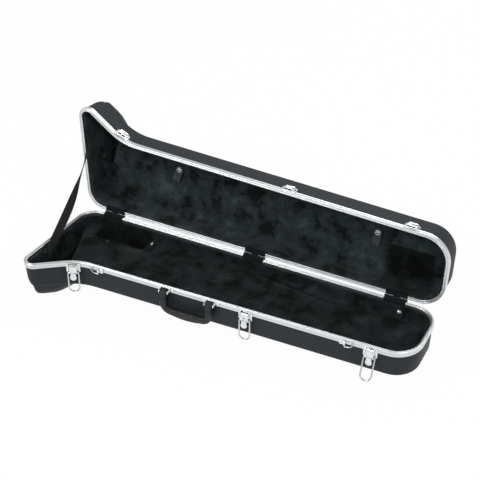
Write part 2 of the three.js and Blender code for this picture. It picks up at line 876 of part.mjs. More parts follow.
function bailPath() {
  const side = (bailWidth - bailWire) / 2;
  const end = leverHalf - leverWall;
  const low = -bailDrop + bailWire / 2;
  const at = (x, z) => new THREE.Vector3(x, 0, z);
  const path = new THREE.CurvePath();
  path.add(new THREE.LineCurve3(at(-end, 0), at(-side + bailEndRadius, 0)));
  path.add(new THREE.QuadraticBezierCurve3(
    at(-side + bailEndRadius, 0),
    at(-side, 0),
    at(-side, -bailEndRadius),
  ));
  path.add(new THREE.LineCurve3(at(-side, -bailEndRadius), at(-side, low + bailBendRadius)));
  path.add(new THREE.QuadraticBezierCurve3(
    at(-side, low + bailBendRadius),
    at(-side, low),
    at(-side + bailBendRadius, low),
  ));
  path.add(new THREE.LineCurve3(at(-side + bailBendRadius, low), at(side - bailBendRadius, low)));
  path.add(new THREE.QuadraticBezierCurve3(
    at(side - bailBendRadius, low),
    at(side, low),
    at(side, low + bailBendRadius),
  ));
  path.add(new THREE.LineCurve3(at(side, low + bailBendRadius), at(side, -bailEndRadius)));
  path.add(new THREE.QuadraticBezierCurve3(
    at(side, -bailEndRadius),
    at(side, 0),
    at(side - bailEndRadius, 0),
  ));
  path.add(new THREE.LineCurve3(at(side - bailEndRadius, 0), at(end, 0)));
  return path;
}

// A keeper on the lid: a plate on the rim with a hook for the bail.
function keeperGeometry() {
  const half = keeperWidth / 2;
  const corner = keeperCornerRadius;
  const top = keeperHeight + latchTopDrop;
  const outline = new THREE.Shape();
  outline.moveTo(-half, latchTopDrop);
  outline.lineTo(half, latchTopDrop);
  outline.lineTo(half, top - corner);
  outline.absarc(half - corner, top - corner, corner, 0, Math.PI / 2, false);
  outline.lineTo(corner - half, top);
  outline.absarc(corner - half, top - corner, corner, Math.PI / 2, Math.PI, false);
  const plate = frontPlate(outline, keeperWall, -fitGap);
  const back = -fitGap;
  const seat = rimHeight + fitGap;
  const foot = sideProfile([
    [back - keeperWall / 2, seat],
    [back - keeperWall / 2, top - corner],
    [wallBack(top - corner) - fitGap * 2, top - corner],
    [wallBack(seat) - fitGap * 2, seat],
  ], keeperWidth - corner);
  const reach = back - keeperHookReach;
  const rise = latchTopDrop + keeperHookRise;
  const hook = sideProfile([
    [back - keeperWall / 2, rise],
    [reach, rise],
    [reach, rise + keeperHookLip],
    [reach + keeperWall, rise + keeperHookLip],
    [reach + keeperWall, rise + keeperWall],
    [back - keeperWall / 2, rise + keeperWall],
  ], keeperHookWidth);
  return shaped([plate, foot, hook]);
}

latchShares.forEach((share, index) => {
  const number = index + 1;
  const x = share * caseLength;
  const place = rimPlace(x, latchWidth, lyingCase);
  piece(`latch_${number}_plate`, latchPlate(), chrome, place);
  const lever = piece(`latch_${number}_lever`, latchLever(), chrome, place);
  lever.position.set(0, pivotY, -latchPivotDrop);
  const bail = piece(`latch_${number}_bail`, wire(bailPath(), bailWire, bailSteps), chrome, place);
  bail.position.set(0, pivotY, -bailPivotDepth);
  const room = tableDepth(x) - bailFloorGap - bailWire / 2 - bailPivotDepth;
  bail.rotation.x = -Math.acos(Math.min(1, room / (bailDrop - bailWire / 2)));
  const keeperPlace = rimPlace(x, keeperWidth, closedLid);
  keeperPlace.position.z = closedGap;
  piece(`keeper_${number}`, keeperGeometry(), chrome, keeperPlace);
});

// The handle: two legs with eyes at their tops, and a grip with finger waves.
function handleGeometry() {
  const half = (handleLegSpread + handleLegWidth) / 2;
  const mouth = (handleLegSpread - handleLegWidth) / 2;
  const low = handleEdge - handleDrop;
  const top = handlePinRadius + handleEdge;
  const outer = new THREE.Shape();
  const side = half - handleEdge;
  outer.moveTo(-side, top - handleEdge);
  outer.lineTo(-side, low + handleCornerRadius);
  outer.absarc(handleCornerRadius - side, low + handleCornerRadius, handleCornerRadius,
    Math.PI, 3 * Math.PI / 2, false);
  outer.quadraticCurveTo(0, low - 2 * handleBelly, side - handleCornerRadius, low);
  outer.absarc(side - handleCornerRadius, low + handleCornerRadius, handleCornerRadius,
    3 * Math.PI / 2, 2 * Math.PI, false);
  outer.lineTo(side, top - handleEdge);
  outer.lineTo(mouth + handleEdge, top - handleEdge);
  const grip = low - handleEdge + gripHeight + handleEdge;
  outer.lineTo(mouth + handleEdge, grip + handleMouthRadius);
  const span = mouth + handleEdge - handleMouthRadius;
  const waveSteps = gripWaves * wireSides;
  for (let step = 0; step <= waveSteps; step += 1) {
    const share = step / waveSteps;
    const wave = Math.abs(Math.sin(share * gripWaves * Math.PI));
    outer.lineTo(span * (1 - 2 * share), grip - gripWaveDepth * wave);
  }
  outer.lineTo(-mouth - handleEdge, grip + handleMouthRadius);
  outer.lineTo(-mouth - handleEdge, top - handleEdge);
  const geometry = new THREE.ExtrudeGeometry(outer, {
    depth: handleThickness - 2 * handleEdge,
    curveSegments: arcSteps,
    bevelThickness: handleEdge,
    bevelSize: handleEdge,
    bevelSegments: 2,
  });
  const axes = new THREE.Matrix4().makeBasis(
    new THREE.Vector3(1, 0, 0),
    new THREE.Vector3(0, 0, 1),
    new THREE.Vector3(0, -1, 0),
  );
  geometry.applyMatrix4(axes).translate(0, handleThickness / 2 - handleEdge, 0);
  const bores = [-1, 1].map((end) => {
    const reach = handleLegWidth + 2 * cutOverrun;
    return rodX(handlePinRadius + pinClearance, reach, end * handleLegSpread / 2, 0, 0);
  });
  return shaped([geometry], bores);
}

// A bracket that holds one end of the handle between two ears on flanges.
const bracketHalf = handleLegWidth / 2 + fitGap * 2 + bracketWall;
function bracketGeometry() {
  const top = -(rimHeight - bracketHeight) / 2;
  const bottom = top - bracketHeight;
  const width = bracketHalf + bracketFlange;
  const backing = block(-width, -fitGap, bottom, width, -fitGap - bracketWall, top);
  const eyeRadius = bracketHeight / 2;
  const ears = [-1, 1].map((side) => {
    const middle = side * (bracketHalf - bracketWall / 2);
    const tip = rodX(eyeRadius, bracketWall, middle, -handlePinReach, -handlePinDrop);
    const outer = side * bracketHalf;
    const inner = side * (bracketHalf - bracketWall);
    const web = block(inner, -fitGap - bracketWall / 2, bottom, outer, -handlePinReach, top);
    return shaped([tip, web]);
  });
  const hole = rodX(handlePinRadius + pinClearance, 2 * width, 0, -handlePinReach, -handlePinDrop);
  return shaped([backing, ...ears], [hole]);
}

const handlePlace = rimPlace(handleShare * caseLength, handleLegSpread, lyingCase);
const handle = piece('handle', handleGeometry(), shellPlastic, handlePlace);
handle.position.set(0, -handlePinReach, -handlePinDrop);
['left', 'right'].forEach((side, index) => {
  const x = (2 * index - 1) * handleLegSpread / 2;
  piece(`handle_bracket_${side}`, bracketGeometry().translate(x, 0, 0), chrome, handlePlace);
  const headX = bracketHalf + fitGap + pinHeadLength / 2;
  const pin = shaped([
    rodX(handlePinRadius, 2 * headX, 0, 0, 0),
    rodX(handlePinRadius + pinHeadLength, pinHeadLength, -headX, 0, 0),
    rodX(handlePinRadius + pinHeadLength, pinHeadLength, headX, 0, 0),
  ]);
  pin.translate(x, -handlePinReach, -handlePinDrop);
  piece(`handle_pin_${side}`, pin, chrome, handlePlace);
});

// A strap ring: a D of wire that swings on an upright pin in the end of its plate.
function ringGeometry(side) {
  const half = (ringHeight - ringWire) / 2;
  const corner = half / 3;
  const belly = (ringReach - ringWire) * 4 / 3;
  const at = (x, z) => new THREE.Vector3(side * x, 0, z);
  const path = new THREE.CurvePath();
  path.add(new THREE.LineCurve3(at(0, -half / 2), at(0, half - corner)));
  path.add(new THREE.QuadraticBezierCurve3(at(0, half - corner), at(0, half), at(corner, half)));
  path.add(new THREE.CubicBezierCurve3(
    at(corner, half),
    at(belly, half),
    at(belly, -half),
    at(corner, -half),
  ));
  path.add(new THREE.QuadraticBezierCurve3(at(corner, -half), at(0, -half), at(0, corner - half)));
  path.add(new THREE.LineCurve3(at(0, corner - half), at(0, -half / 2)));
  return shaped([wire(path, ringWire, ringSteps), rodZ(ringWire / 2, half, 0, 0, -half / 2)]);
}

function ringPlateGeometry(side) {
  const back = -fitGap;
  const near = side * (ringEyeRadius + fitGap);
  const far = side * ringPlateWidth;
  const plate = block(0, back, -ringPlateHeight, far, back - ringPlateWall, 0);
  const middle = -ringPlateHeight / 2;
  const eye = rodZ(ringEyeRadius, ringEyeHeight, 0, back - ringEyeRadius, middle);
  const half = ringEyeHeight / 2;
  const web = block(0, back, middle - half, near, back - ringPlateWall, middle + half);
  const bore = rodZ(ringWire / 2 + pinClearance, ringPlateHeight, 0, back - ringEyeRadius, middle);
  return shaped([plate, eye, web], [bore]);
}

ringShares.forEach((share, index) => {
  const number = index + 1;
  const side = ringSides[index];
  const x = share * caseLength + side * ringReach / 2;
  const place = rimPlace(x, ringPlateWidth * 2, lyingCase);
  place.position.z = -ringPlateDrop;
  piece(`ring_plate_${number}`, ringPlateGeometry(side), chrome, place);
  const ring = piece(`strap_ring_${number}`, ringGeometry(-side), chrome, place);
  ring.position.set(0, -fitGap - ringEyeRadius, -ringPlateHeight / 2);
});

// A point inside the bell end of a lining: a distance from the hinge side, and one
// from the lining's face at its top.
const baseFace = shellInset + baseWall + fitGap + baseLiningWall;
const lidFace = shellInset + lidWall + fitGap + lidLiningWall;
function endWall(face, fromHinge, standOff) {
  const plan = planAt(face + standOff);
  const top = plan.hinge[0];
  const low = plan.front[0];
  return top.clone().lerp(low, (fromHinge + top.y) / (top.y - low.y));
}

// A stud that holds an end of the stay to the bell end's wall.
const endAngle = Math.atan2(bellEndSlant, bellEndWidth);
function studSeat(face, fromHinge, floorAt) {
  const run = floorAt(endWall(face, fromHinge, liningDraft)) - liningEdgeRadius - rimHeight;
  return liningDraft * (stayDrop + studRadius - rimHeight) / run;
}
const baseSeat = studSeat(baseFace, stayBaseY, baseFloor);
const lidSeat = studSeat(lidFace, stayLidY, lidFloor);
function studGeometry(face, fromHinge, seat) {
  const place = endWall(face, fromHinge, seat);
  const head = rodX(studRadius, studWall, fitGap + studWall / 2, 0, 0);
  return head.rotateZ(-endAngle).translate(place.x, place.y, -stayDrop);
}

const lidStud = mirror(studGeometry(lidFace, stayLidY, lidSeat));
piece('stay_stud_base', studGeometry(baseFace, stayBaseY, baseSeat), chrome, lyingCase);
piece('stay_stud_lid', lidStud, chrome, closedLid);

// The stay: a flat webbing that runs straight from one stud to the other and turns
// about its length on the way.
lyingCase.updateMatrixWorld(true);
function stayGeometry() {
  const standOff = studWall + 2 * fitGap + stayWall / 2;
  const low = endWall(baseFace, stayBaseY, baseSeat + standOff);
  const high = endWall(lidFace, stayLidY, lidSeat + standOff);
  const from = new THREE.Vector3(low.x, low.y, -stayDrop);
  const to = new THREE.Vector3(high.x, high.y, closedGap + stayDrop);
  to.applyMatrix4(closedLid.matrixWorld).applyMatrix4(lyingCase.matrixWorld.clone().invert());
  const along = to.clone().sub(from).normalize();
  const baseWall = new THREE.Vector3(Math.cos(endAngle), -Math.sin(endAngle), 0);
  const lidWall = baseWall.clone().applyAxisAngle(new THREE.Vector3(1, 0, 0), -openAngle);
  const positions = [];
  const triangles = [];
  for (let step = 0; step <= staySteps; step += 1) {
    const share = step / staySteps;
    const swell = Math.sin(Math.PI * share);
    const twist = stayTwist * Math.sin(Math.PI * share ** stayTwistPower) ** 2;
    const turn = twist - stayTurn * swell;
    const across = baseWall.clone().lerp(lidWall, share).cross(along).normalize();
    across.applyAxisAngle(along, turn);
    const facing = across.clone().cross(along);
    const middle = from.clone().lerp(to, share);
    middle.x += stayBow * swell;
    [[-1, -1], [1, -1], [1, 1], [-1, 1]].forEach(([a, b]) => {
      const corner = middle.clone().addScaledVector(across, a * stayWidth / 2);
      corner.addScaledVector(facing, b * stayWall / 2);
      positions.push(corner.x, corner.y, corner.z);
    });
  }
  for (let step = 0; step < staySteps; step += 1) {
    for (let side = 0; side < 4; side += 1) {
      const a = step * 4 + side;
      const b = step * 4 + (side + 1) % 4;
      triangles.push(a, b + 4, b, a, a + 4, b + 4);
    }
  }
  const last = staySteps * 4;
  triangles.push(0, 1, 2, 0, 2, 3, last, last + 2, last + 1, last, last + 3, last + 2);
  const geometry = new THREE.BufferGeometry();
  geometry.setAttribute('position', new THREE.Float32BufferAttribute(positions, 3));
  geometry.setIndex(triangles);
  return geometry;
}
piece('lid_stay', stayGeometry(), webbing, lyingCase);

// A snap: a domed cap on a wider ring.
function snapGeometry(radius) {
  const dome = radius * snapDomeShare;
  const profile = [
    new THREE.Vector2(0, 0),
    new THREE.Vector2(radius, 0),
    new THREE.Vector2(radius, snapHeight / 3),
    new THREE.Vector2(dome, snapHeight / 2),
    new THREE.Vector2(dome * 3 / 4, snapHeight * 5 / 6),
    new THREE.Vector2(0, snapHeight),
  ];
  return new THREE.LatheGeometry(profile, roundSides).rotateX(Math.PI / 2);
}

// A leather strap with a round end and its snap, lying on the plane z = 0 of its place.
function snapStrap(names, place, width, length, snapDrop, snapRadius) {
  const round = width / 2;
  const outline = new THREE.Shape();
  outline.moveTo(-round, -length);
  outline.lineTo(round, -length);
  outline.lineTo(round, -round);
  outline.absarc(0, -round, round, 0, Math.PI, false);
  const strap = new THREE.ExtrudeGeometry(outline, {
    depth: strapWall,
    bevelEnabled: false,
    curveSegments: wireSides,
  });
  piece(names[0], strap, leatherette, place);
  const snap = piece(names[1], snapGeometry(snapRadius), chrome, place);
  snap.position.set(0, -snapDrop, strapWall + fitGap);
}

// Straps that hang by their round ends on the lid's floor.
tabShares.forEach((share, index) => {
  const number = index + 1;
  const place = new THREE.Group();
  place.position.set(share * caseLength, -tabInsets[index], closedGap + lidFloorDepth - fitGap);
  place.rotation.x = Math.PI;
  closedLid.add(place);
  const hang = new THREE.Group();
  hang.rotation.z = tabTurns[index];
  place.add(hang);
  const names = [`lid_tab_${number}`, `lid_tab_snap_${number}`];
  snapStrap(names, hang, tabWidth, tabLength, tabSnapDrop, tabSnapRadius);
});

// Straps at the base's hinge side, one on the floor and one across the corner.
function baseStrap(number, share, inset, drop, turn, length) {
  const place = new THREE.Group();
  place.position.set(share * caseLength, -inset, -drop);
  place.rotation.x = turn;
  lyingCase.add(place);
  const names = [`base_strap_${number}`, `base_strap_snap_${number}`];
  snapStrap(names, place, strapWidth, length, strapSnapDrop, strapSnapRadius);
}
const floorStrapDrop = baseFloorDepth - fitGap;
baseStrap(1, floorStrapShare, floorStrapInset, floorStrapDrop, 0, floorStrapLength);
baseStrap(
  2,
  cornerStrapShare,
  cornerStrapInset,
  cornerStrapDrop,
  cornerStrapTurn,
  cornerStrapLength,
);

// Stands the finished case on the table, centred on the origin.
const trombone = new THREE.Group();
trombone.add(lyingCase);
trombone.updateMatrixWorld(true);
const extent = new THREE.Box3().setFromObject(trombone, true);
const middle = extent.getCenter(new THREE.Vector3());
lyingCase.position.set(-middle.x, -middle.y, -extent.min.z);

export default trombone;
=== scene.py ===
# Hard case for a slide trombone, standing open on a pale table: moulded plastic shells in
# aluminium rims, plush linings, chrome fittings, a handle and a webbing stay.
# Lengths are metres. In the case's own frame the rims meet at z = 0, the hinge side is
# y = 0, the front is -y, and x runs from the bell end to the slim end.
import json
import math

import bmesh
import bpy
import numpy as np
from mathutils import Matrix, Vector, noise


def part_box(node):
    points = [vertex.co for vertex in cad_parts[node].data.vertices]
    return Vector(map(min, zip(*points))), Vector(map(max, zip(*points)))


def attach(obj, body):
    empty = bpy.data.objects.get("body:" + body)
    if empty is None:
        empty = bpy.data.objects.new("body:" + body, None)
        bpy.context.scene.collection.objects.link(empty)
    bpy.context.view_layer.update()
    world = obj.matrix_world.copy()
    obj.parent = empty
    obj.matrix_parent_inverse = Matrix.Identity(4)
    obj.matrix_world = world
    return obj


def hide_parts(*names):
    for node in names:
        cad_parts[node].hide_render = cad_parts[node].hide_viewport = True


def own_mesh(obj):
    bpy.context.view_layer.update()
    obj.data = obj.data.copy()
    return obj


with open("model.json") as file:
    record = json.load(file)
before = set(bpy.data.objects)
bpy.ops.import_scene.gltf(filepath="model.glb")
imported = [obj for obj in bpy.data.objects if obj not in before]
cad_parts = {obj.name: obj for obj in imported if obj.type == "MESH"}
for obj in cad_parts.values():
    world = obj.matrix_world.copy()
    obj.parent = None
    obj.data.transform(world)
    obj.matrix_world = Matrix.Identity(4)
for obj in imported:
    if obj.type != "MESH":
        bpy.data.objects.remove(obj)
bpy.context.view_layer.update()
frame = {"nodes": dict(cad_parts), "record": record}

# --- How the case lies ---
# The closed case is modelled level and then laid down: it leans on the dome for the bell,
# and the lid stands open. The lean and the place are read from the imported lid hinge.
CASE_LENGTH = 0.948
HINGE_PIN_Y = 0.0029
CLOSED_GAP = 0.0005
OPEN_ANGLE = math.radians(98)


def packed_joint(name):
    return next(joint for joint in frame["record"]["behaviour"]["joints"] if joint["name"] == name)


def shifted(x, y, z):
    return Matrix.Translation((x, y, z))


lid_joint = packed_joint("lid_hinge")
lean = math.atan2(-lid_joint["axis"][2], lid_joint["axis"][0])
pin_middle = Vector((CASE_LENGTH / 2, HINGE_PIN_Y, CLOSED_GAP / 2))
lean_turn = Matrix.Rotation(lean, 4, "Y")
lying = Matrix.Translation(Vector(lid_joint["pos_m"]) - lean_turn @ pin_middle) @ lean_turn
pin_place = Matrix.Translation(pin_middle)
opened = lying @ pin_place @ Matrix.Rotation(-OPEN_ANGLE, 4, "X") @ pin_place.inverted()
HALVES = {"base": lying, "lid": opened}


# --- Camera ---
# It looks well down on the case from the front, a little from the side of the slim end.
CAMERA_TARGET = Vector((0.4513, 0, 0.0357))
CAMERA_DISTANCE = 3.05
CAMERA_ROUND = math.radians(25.97)
CAMERA_HEIGHT = math.radians(37.26)
camera_back = Vector((
    math.sin(CAMERA_ROUND) * math.cos(CAMERA_HEIGHT),
    -math.cos(CAMERA_ROUND) * math.cos(CAMERA_HEIGHT),
    math.sin(CAMERA_HEIGHT),
))
camera_right = Vector((math.cos(CAMERA_ROUND), math.sin(CAMERA_ROUND), 0))
camera_turn = Matrix((camera_right, camera_back.cross(camera_right), camera_back)).transposed()
camera_data = bpy.data.cameras.new("camera")
camera_data.lens = 98
camera_data.sensor_width = 36
camera = bpy.data.objects.new("camera", camera_data)
bpy.context.collection.objects.link(camera)
camera.matrix_world = (
    lying
    @ Matrix.Translation(CAMERA_TARGET + CAMERA_DISTANCE * camera_back)
    @ camera_turn.to_4x4()
)
bpy.context.scene.camera = camera


# --- Shells ---
# Two trays of textured ABS, vacuum-formed with a dome for the bell in each. Their plan is
# wide at the bell end, drawn in at the neck and straight along the hinge side.
PLAN_CORNERS = np.array([
    (0.037, 0.0), (0.0, -0.284), (0.127, -0.197), (CASE_LENGTH, -0.1735), (CASE_LENGTH, 0.0),
])
PLAN_RADII = (0.050, 0.0235, 0.123, 0.064, 0.057)
NECK = 2
ARC_STEPS = 12
FLARE_STEPS = 10
FRONT_STEPS = 150
CROSS_STEPS = 36
EDGE_STEPS = 6
HALF_DEPTH = 0.0725
CORNER_DEPTH = 0.047
CORNER_RAMP = 0.040
DOME_DEPTH = 0.116
DOME_EDGE = 0.032
DOME_HINGE_EDGE = 0.009
DOME_FADE_START = 0.054
DOME_FADE_LENGTH = 0.082
BELL_END_WIDTH = 0.284
SHELL_INSET = 0.0025
SHELL_WALLS = {"base": 0.0034, "lid": 0.0020}
SHELL_DRAFT = 0.002
SHELL_EDGE = 0.009
RIM_HEIGHT = 0.0112
SHELL_TOPS = {"base": 0.0025, "lid": 0.0045}
BOTTOM_INSET = SHELL_INSET + SHELL_DRAFT + SHELL_EDGE


def inset_corner(index, inset):
    before, corner, after = (PLAN_CORNERS[(index + k) % 5] for k in (-1, 0, 1))

    def inwards(a, b):
        side = np.array((a[1] - b[1], b[0] - a[0]))
        return side / np.linalg.norm(side)

    first, second = inwards(before, corner), inwards(corner, after)
    return corner + (first + second) * inset / (1 + first @ second)


def plan_arc(index, inset, steps=ARC_STEPS):
    a, b, c = (inset_corner((index + k) % 5, inset) for k in (-1, 0, 1))
    radius = PLAN_RADII[index] + (inset if index == NECK else -inset)
    to_a = (a - b) / np.linalg.norm(a - b)
    to_c = (c - b) / np.linalg.norm(c - b)
    half = math.acos(to_a @ to_c) / 2
    middle = (to_a + to_c) / np.linalg.norm(to_a + to_c)
    centre = b + middle * radius / math.sin(half)
    start = b + to_a * radius / math.tan(half) - centre
    end = b + to_c * radius / math.tan(half) - centre
    sweep = math.pi - 2 * half
    share = np.linspace(0, 1, steps + 1)[:, None]
    return centre + (start * np.sin((1 - share) * sweep) + end * np.sin(share * sweep)) / math.sin(sweep)


def between(a, b, steps):
    return a + (b - a) * np.linspace(0, 1, steps + 1)[1:-1, None]


def plan_lines(inset):
    hinge_bell, front_bell, neck, front_slim, hinge_slim = (plan_arc(k, inset) for k in range(5))
    front = np.concatenate((
        front_bell,
        between(front_bell[-1], neck[0], FLARE_STEPS),
        neck,
        between(neck[-1], front_slim[0], FRONT_STEPS),
        front_slim,
    ))
    last = len(front) - 1
    inner = front[ARC_STEPS + 1:last - ARC_STEPS]
    share = (inner[:, :1] - front[ARC_STEPS, 0]) / (front[last - ARC_STEPS, 0] - front[ARC_STEPS, 0])
    along = hinge_bell[0] + (hinge_slim[-1] - hinge_bell[0]) * share
    return front, np.concatenate((hinge_bell[::-1], along, hinge_slim[::-1]))


def plan_grid(inset):
    front, hinge = plan_lines(inset)
    share = (1 - np.cos(np.pi * np.linspace(0, 1, CROSS_STEPS + 1))) / 2
    return hinge[:, None] + (front - hinge)[:, None] * share[None, :, None]


def plan_edge(inset):
    grid = plan_grid(inset)
    return np.concatenate((grid[0, :-1], grid[:-1, -1], grid[-1, :0:-1], grid[:0:-1, 0]))


def smooth_share(value, low, high):
    share = np.clip((value - low) / (high - low), 0, 1)
    return share * share * (3 - 2 * share)


def edge_depth(points):
    return CORNER_DEPTH + (HALF_DEPTH - CORNER_DEPTH) * smooth_share(points[..., 0], 0, CORNER_RAMP)


bottom_edge = plan_edge(BOTTOM_INSET)


def distance_to(points, starts, ends):
    flat = points.reshape(-1, 2)
    nearest = np.full(len(flat), np.inf)
    for a, b in zip(starts, ends):
        along = b - a
        share = np.clip((flat - a) @ along / (along @ along), 0, 1)
        nearest = np.minimum(nearest, np.linalg.norm(flat - a - share[:, None] * along, axis=1))
    return nearest.reshape(points.shape[:-1])


def underside_depth(points, wall):
    inside = distance_to(points, bottom_edge, np.roll(bottom_edge, -1, axis=0))
    reach = np.maximum(0, inside - wall)
    from_hinge = -points[..., 1] - BOTTOM_INSET - DOME_HINGE_EDGE
    widening = smooth_share(from_hinge, 0, BELL_END_WIDTH / 2)
    width = DOME_HINGE_EDGE + (DOME_EDGE - DOME_HINGE_EDGE) * widening
    bulge = np.sqrt(1 - (1 - np.minimum(1, reach / width)) ** 2)
    fade = np.clip((points[..., 0] - DOME_FADE_START) / DOME_FADE_LENGTH, 0, 1)
    rim_depth = edge_depth(points)
    return rim_depth + (DOME_DEPTH - rim_depth) * bulge * np.cos(fade * np.pi / 2) ** 2 - wall


def wall_rings(inset, top, draft, radius, depth_at):
    rings = [(inset, lambda p: top + 0 * p[..., 0]), (inset, lambda p: RIM_HEIGHT + 0 * p[..., 0])]
    for angle in np.linspace(0, np.pi / 2, EDGE_STEPS + 1):
        rings.append((
            inset + draft + radius * (1 - math.cos(angle)),
            lambda p, rise=radius * (1 - math.sin(angle)): depth_at(p) - rise,
        ))
    return rings


def ring_faces(rings, count, closed=False):
    faces = []
    for ring in range(rings if closed else rings - 1):
        near, far = ring * count, (ring + 1) % rings * count
        for k in range(count):
            onward = (k + 1) % count
            faces.append((near + k, near + onward, far + onward, far + k))
    return faces


def tray_surface(rings, floor_at):
    points = []
    for inset, depth in rings:
        edge = plan_edge(inset)
        points.append(np.column_stack((edge, -depth(edge))))
    grid = plan_grid(rings[-1][0])
    rows, row = grid.shape[:2]
    count = len(edge)
    faces = ring_faces(len(rings), count)
    first = len(rings) * count
    points.append(np.column_stack((grid.reshape(-1, 2), -floor_at(grid).reshape(-1))))
    for station in range(rows - 1):
        for step in range(row - 1):
            a = first + station * row + step
            faces.append((a, a + row, a + row + 1, a + 1))
    return np.concatenate(points), faces, count


def tray_mesh(name, outer, inner, place):
    outer_points, outer_faces, count = outer
    inner_points, inner_faces, _ = inner
    start = len(outer_points)
    faces = outer_faces + [tuple(start + k for k in reversed(face)) for face in inner_faces]
    for k in range(count):
        onward = (k + 1) % count
        faces.append((k, onward, start + onward, start + k))
    return solid_mesh(name, np.concatenate((outer_points, inner_points)), faces, place)


def solid_mesh(name, points, faces, place, sharp=35, merge=1e-6):
    if place is opened:
        points = points * (1, 1, -1) + (0, 0, CLOSED_GAP)
    mesh = bpy.data.meshes.new(name)
    mesh.from_pydata([tuple(p) for p in points], [], [tuple(f) for f in faces])
    mesh.transform(place)
    clean(mesh, merge, merge)
    return placed(name, mesh, sharp)


def clean(mesh, merge, degenerate, material_index=0):
    work = bmesh.new()
    work.from_mesh(mesh)
    bmesh.ops.remove_doubles(work, verts=work.verts, dist=merge)
    bmesh.ops.dissolve_degenerate(work, edges=work.edges, dist=degenerate)
    bmesh.ops.recalc_face_normals(work, faces=work.faces)
    for face in work.faces:
        face.smooth = True
        face.material_index = material_index
    work.to_mesh(mesh)
    work.free()


def placed(name, mesh, sharp):
    mesh.set_sharp_from_angle(angle=math.radians(sharp))
    piece = bpy.data.objects.new(name, mesh)
    bpy.context.collection.objects.link(piece)
    return piece


def finished(piece, materials, slot, body, *nodes_replaced):
    for material in materials:
        piece.data.materials.append(material)
    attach(piece, body)
    if nodes_replaced:
        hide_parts(*nodes_replaced)


def shell_surface(top, wall):
    return tray_surface(
        wall_rings(
            SHELL_INSET + wall, top, SHELL_DRAFT, SHELL_EDGE - wall,
            lambda p: edge_depth(p) - wall,
        ),
        lambda p: underside_depth(p, wall),
    )


def set_inputs(node, **inputs):
    for key, value in inputs.items():
        node.inputs[key.replace("_", " ")].default_value = value


class Finish:
    def __init__(self, name, color, roughness, **inputs):
        self.material = bpy.data.materials.new(name)
        self.material.use_nodes = True
        self.tree = self.material.node_tree
        self.nodes, self.links = self.tree.nodes, self.tree.links
        self.shader = self.nodes["Principled BSDF"]
        set_inputs(self.shader, Base_Color=(*color, 1), Roughness=roughness, **inputs)

    def texture(self, kind, scale, stretch=(1, 1, 1), **inputs):
        coordinates = self.nodes.new("ShaderNodeTexCoord")
        mapping = self.nodes.new("ShaderNodeMapping")
        set_inputs(mapping, Scale=stretch)
        self.links.new(coordinates.outputs["Object"], mapping.inputs["Vector"])
        texture = self.nodes.new(f"ShaderNodeTex{kind}")
        set_inputs(texture, Scale=scale, **inputs)
        self.links.new(mapping.outputs["Vector"], texture.inputs["Vector"])
        return texture.outputs["Distance" if kind == "Voronoi" else "Fac"]

    def ramp(self, source, stops):
        band = self.nodes.new("ShaderNodeValToRGB")
        elements = band.color_ramp.elements
        while len(elements) < len(stops):
            elements.new(0.5)
        for element, (position, color) in zip(elements, stops):
            element.position = position
            element.color = (*color, 1)
        self.links.new(source, band.inputs["Fac"])
        return band.outputs["Color"]

    def vary_color(self, source, stops):
        self.links.new(self.ramp(source, stops), self.shader.inputs["Base Color"])

    def vary_roughness(self, source, low, high, start=0.3):
        stops = [(start, (low,) * 3), (1 - start, (high,) * 3)]
        self.links.new(self.ramp(source, stops), self.shader.inputs["Roughness"])

    def bump(self, height, distance, strength, under=None):
        node = self.nodes.new("ShaderNodeBump")
        set_inputs(node, Distance=distance, Strength=strength)
        self.links.new(height, node.inputs["Height"])
        if under is not None:
            self.links.new(under, node.inputs["Normal"])
        self.links.new(node.outputs["Normal"], self.shader.inputs["Normal"])
        return node.outputs["Normal"]


finish = Finish("shell plastic", (0.022, 0.026, 0.029), 0.5, Specular_IOR_Level=0.16)
finish.bump(finish.texture("Voronoi", 950), 0.00012, 0.6)
cloud = finish.texture("Noise", 14, Detail=5.0)
finish.vary_roughness(cloud, 0.46, 0.60)
finish.vary_color(cloud, [(0.3, (0.019, 0.023, 0.026)), (0.7, (0.026, 0.031, 0.034))])
shell_plastic = finish.material
for half, place in HALVES.items():
    outer, inner = (shell_surface(SHELL_TOPS[half], wall) for wall in (0, SHELL_WALLS[half]))
    shell = tray_mesh(f"{half}_moulded_shell", outer, inner, place)
    finished(shell, [shell_plastic], "shell_plastic", half, f"{half}_shell")


# --- Rims ---
# Extruded aluminium edge profiles, bent round the plan and closed at the hinge side. Each
# has a groove along its face, the base one a tongue and the lid one the slot for it, and
# both are cut back where the hinge leaves lie on them.
RIM_WIDTH = 0.0086
RIM_WALL = 0.0022
RIM_LIP = 0.008
RIM_ROUND = 0.0013
TONGUE_LOW, TONGUE_HIGH = 0.0033, 0.0053
TONGUE_HEIGHT = 0.0013
SLOT_DEPTH = 0.0014
TONGUE_ROUND = 0.0006
GROOVE_CENTRE = 0.0062
GROOVE_HALF = 0.0009
GROOVE_DEPTH = 0.0005
HINGE_CENTRES = (0.1110, 0.4881, 0.8400)
NOTCH_HALF = 0.0263
NOTCH_DEPTH = 0.0015
RIM_ARC_STEPS = 24


def arc(x, y, radius, first, last, steps=8):
    return [
        (x + radius * math.cos(angle), y + radius * math.sin(angle))
        for angle in np.radians(np.linspace(first, last, steps + 1))
    ]


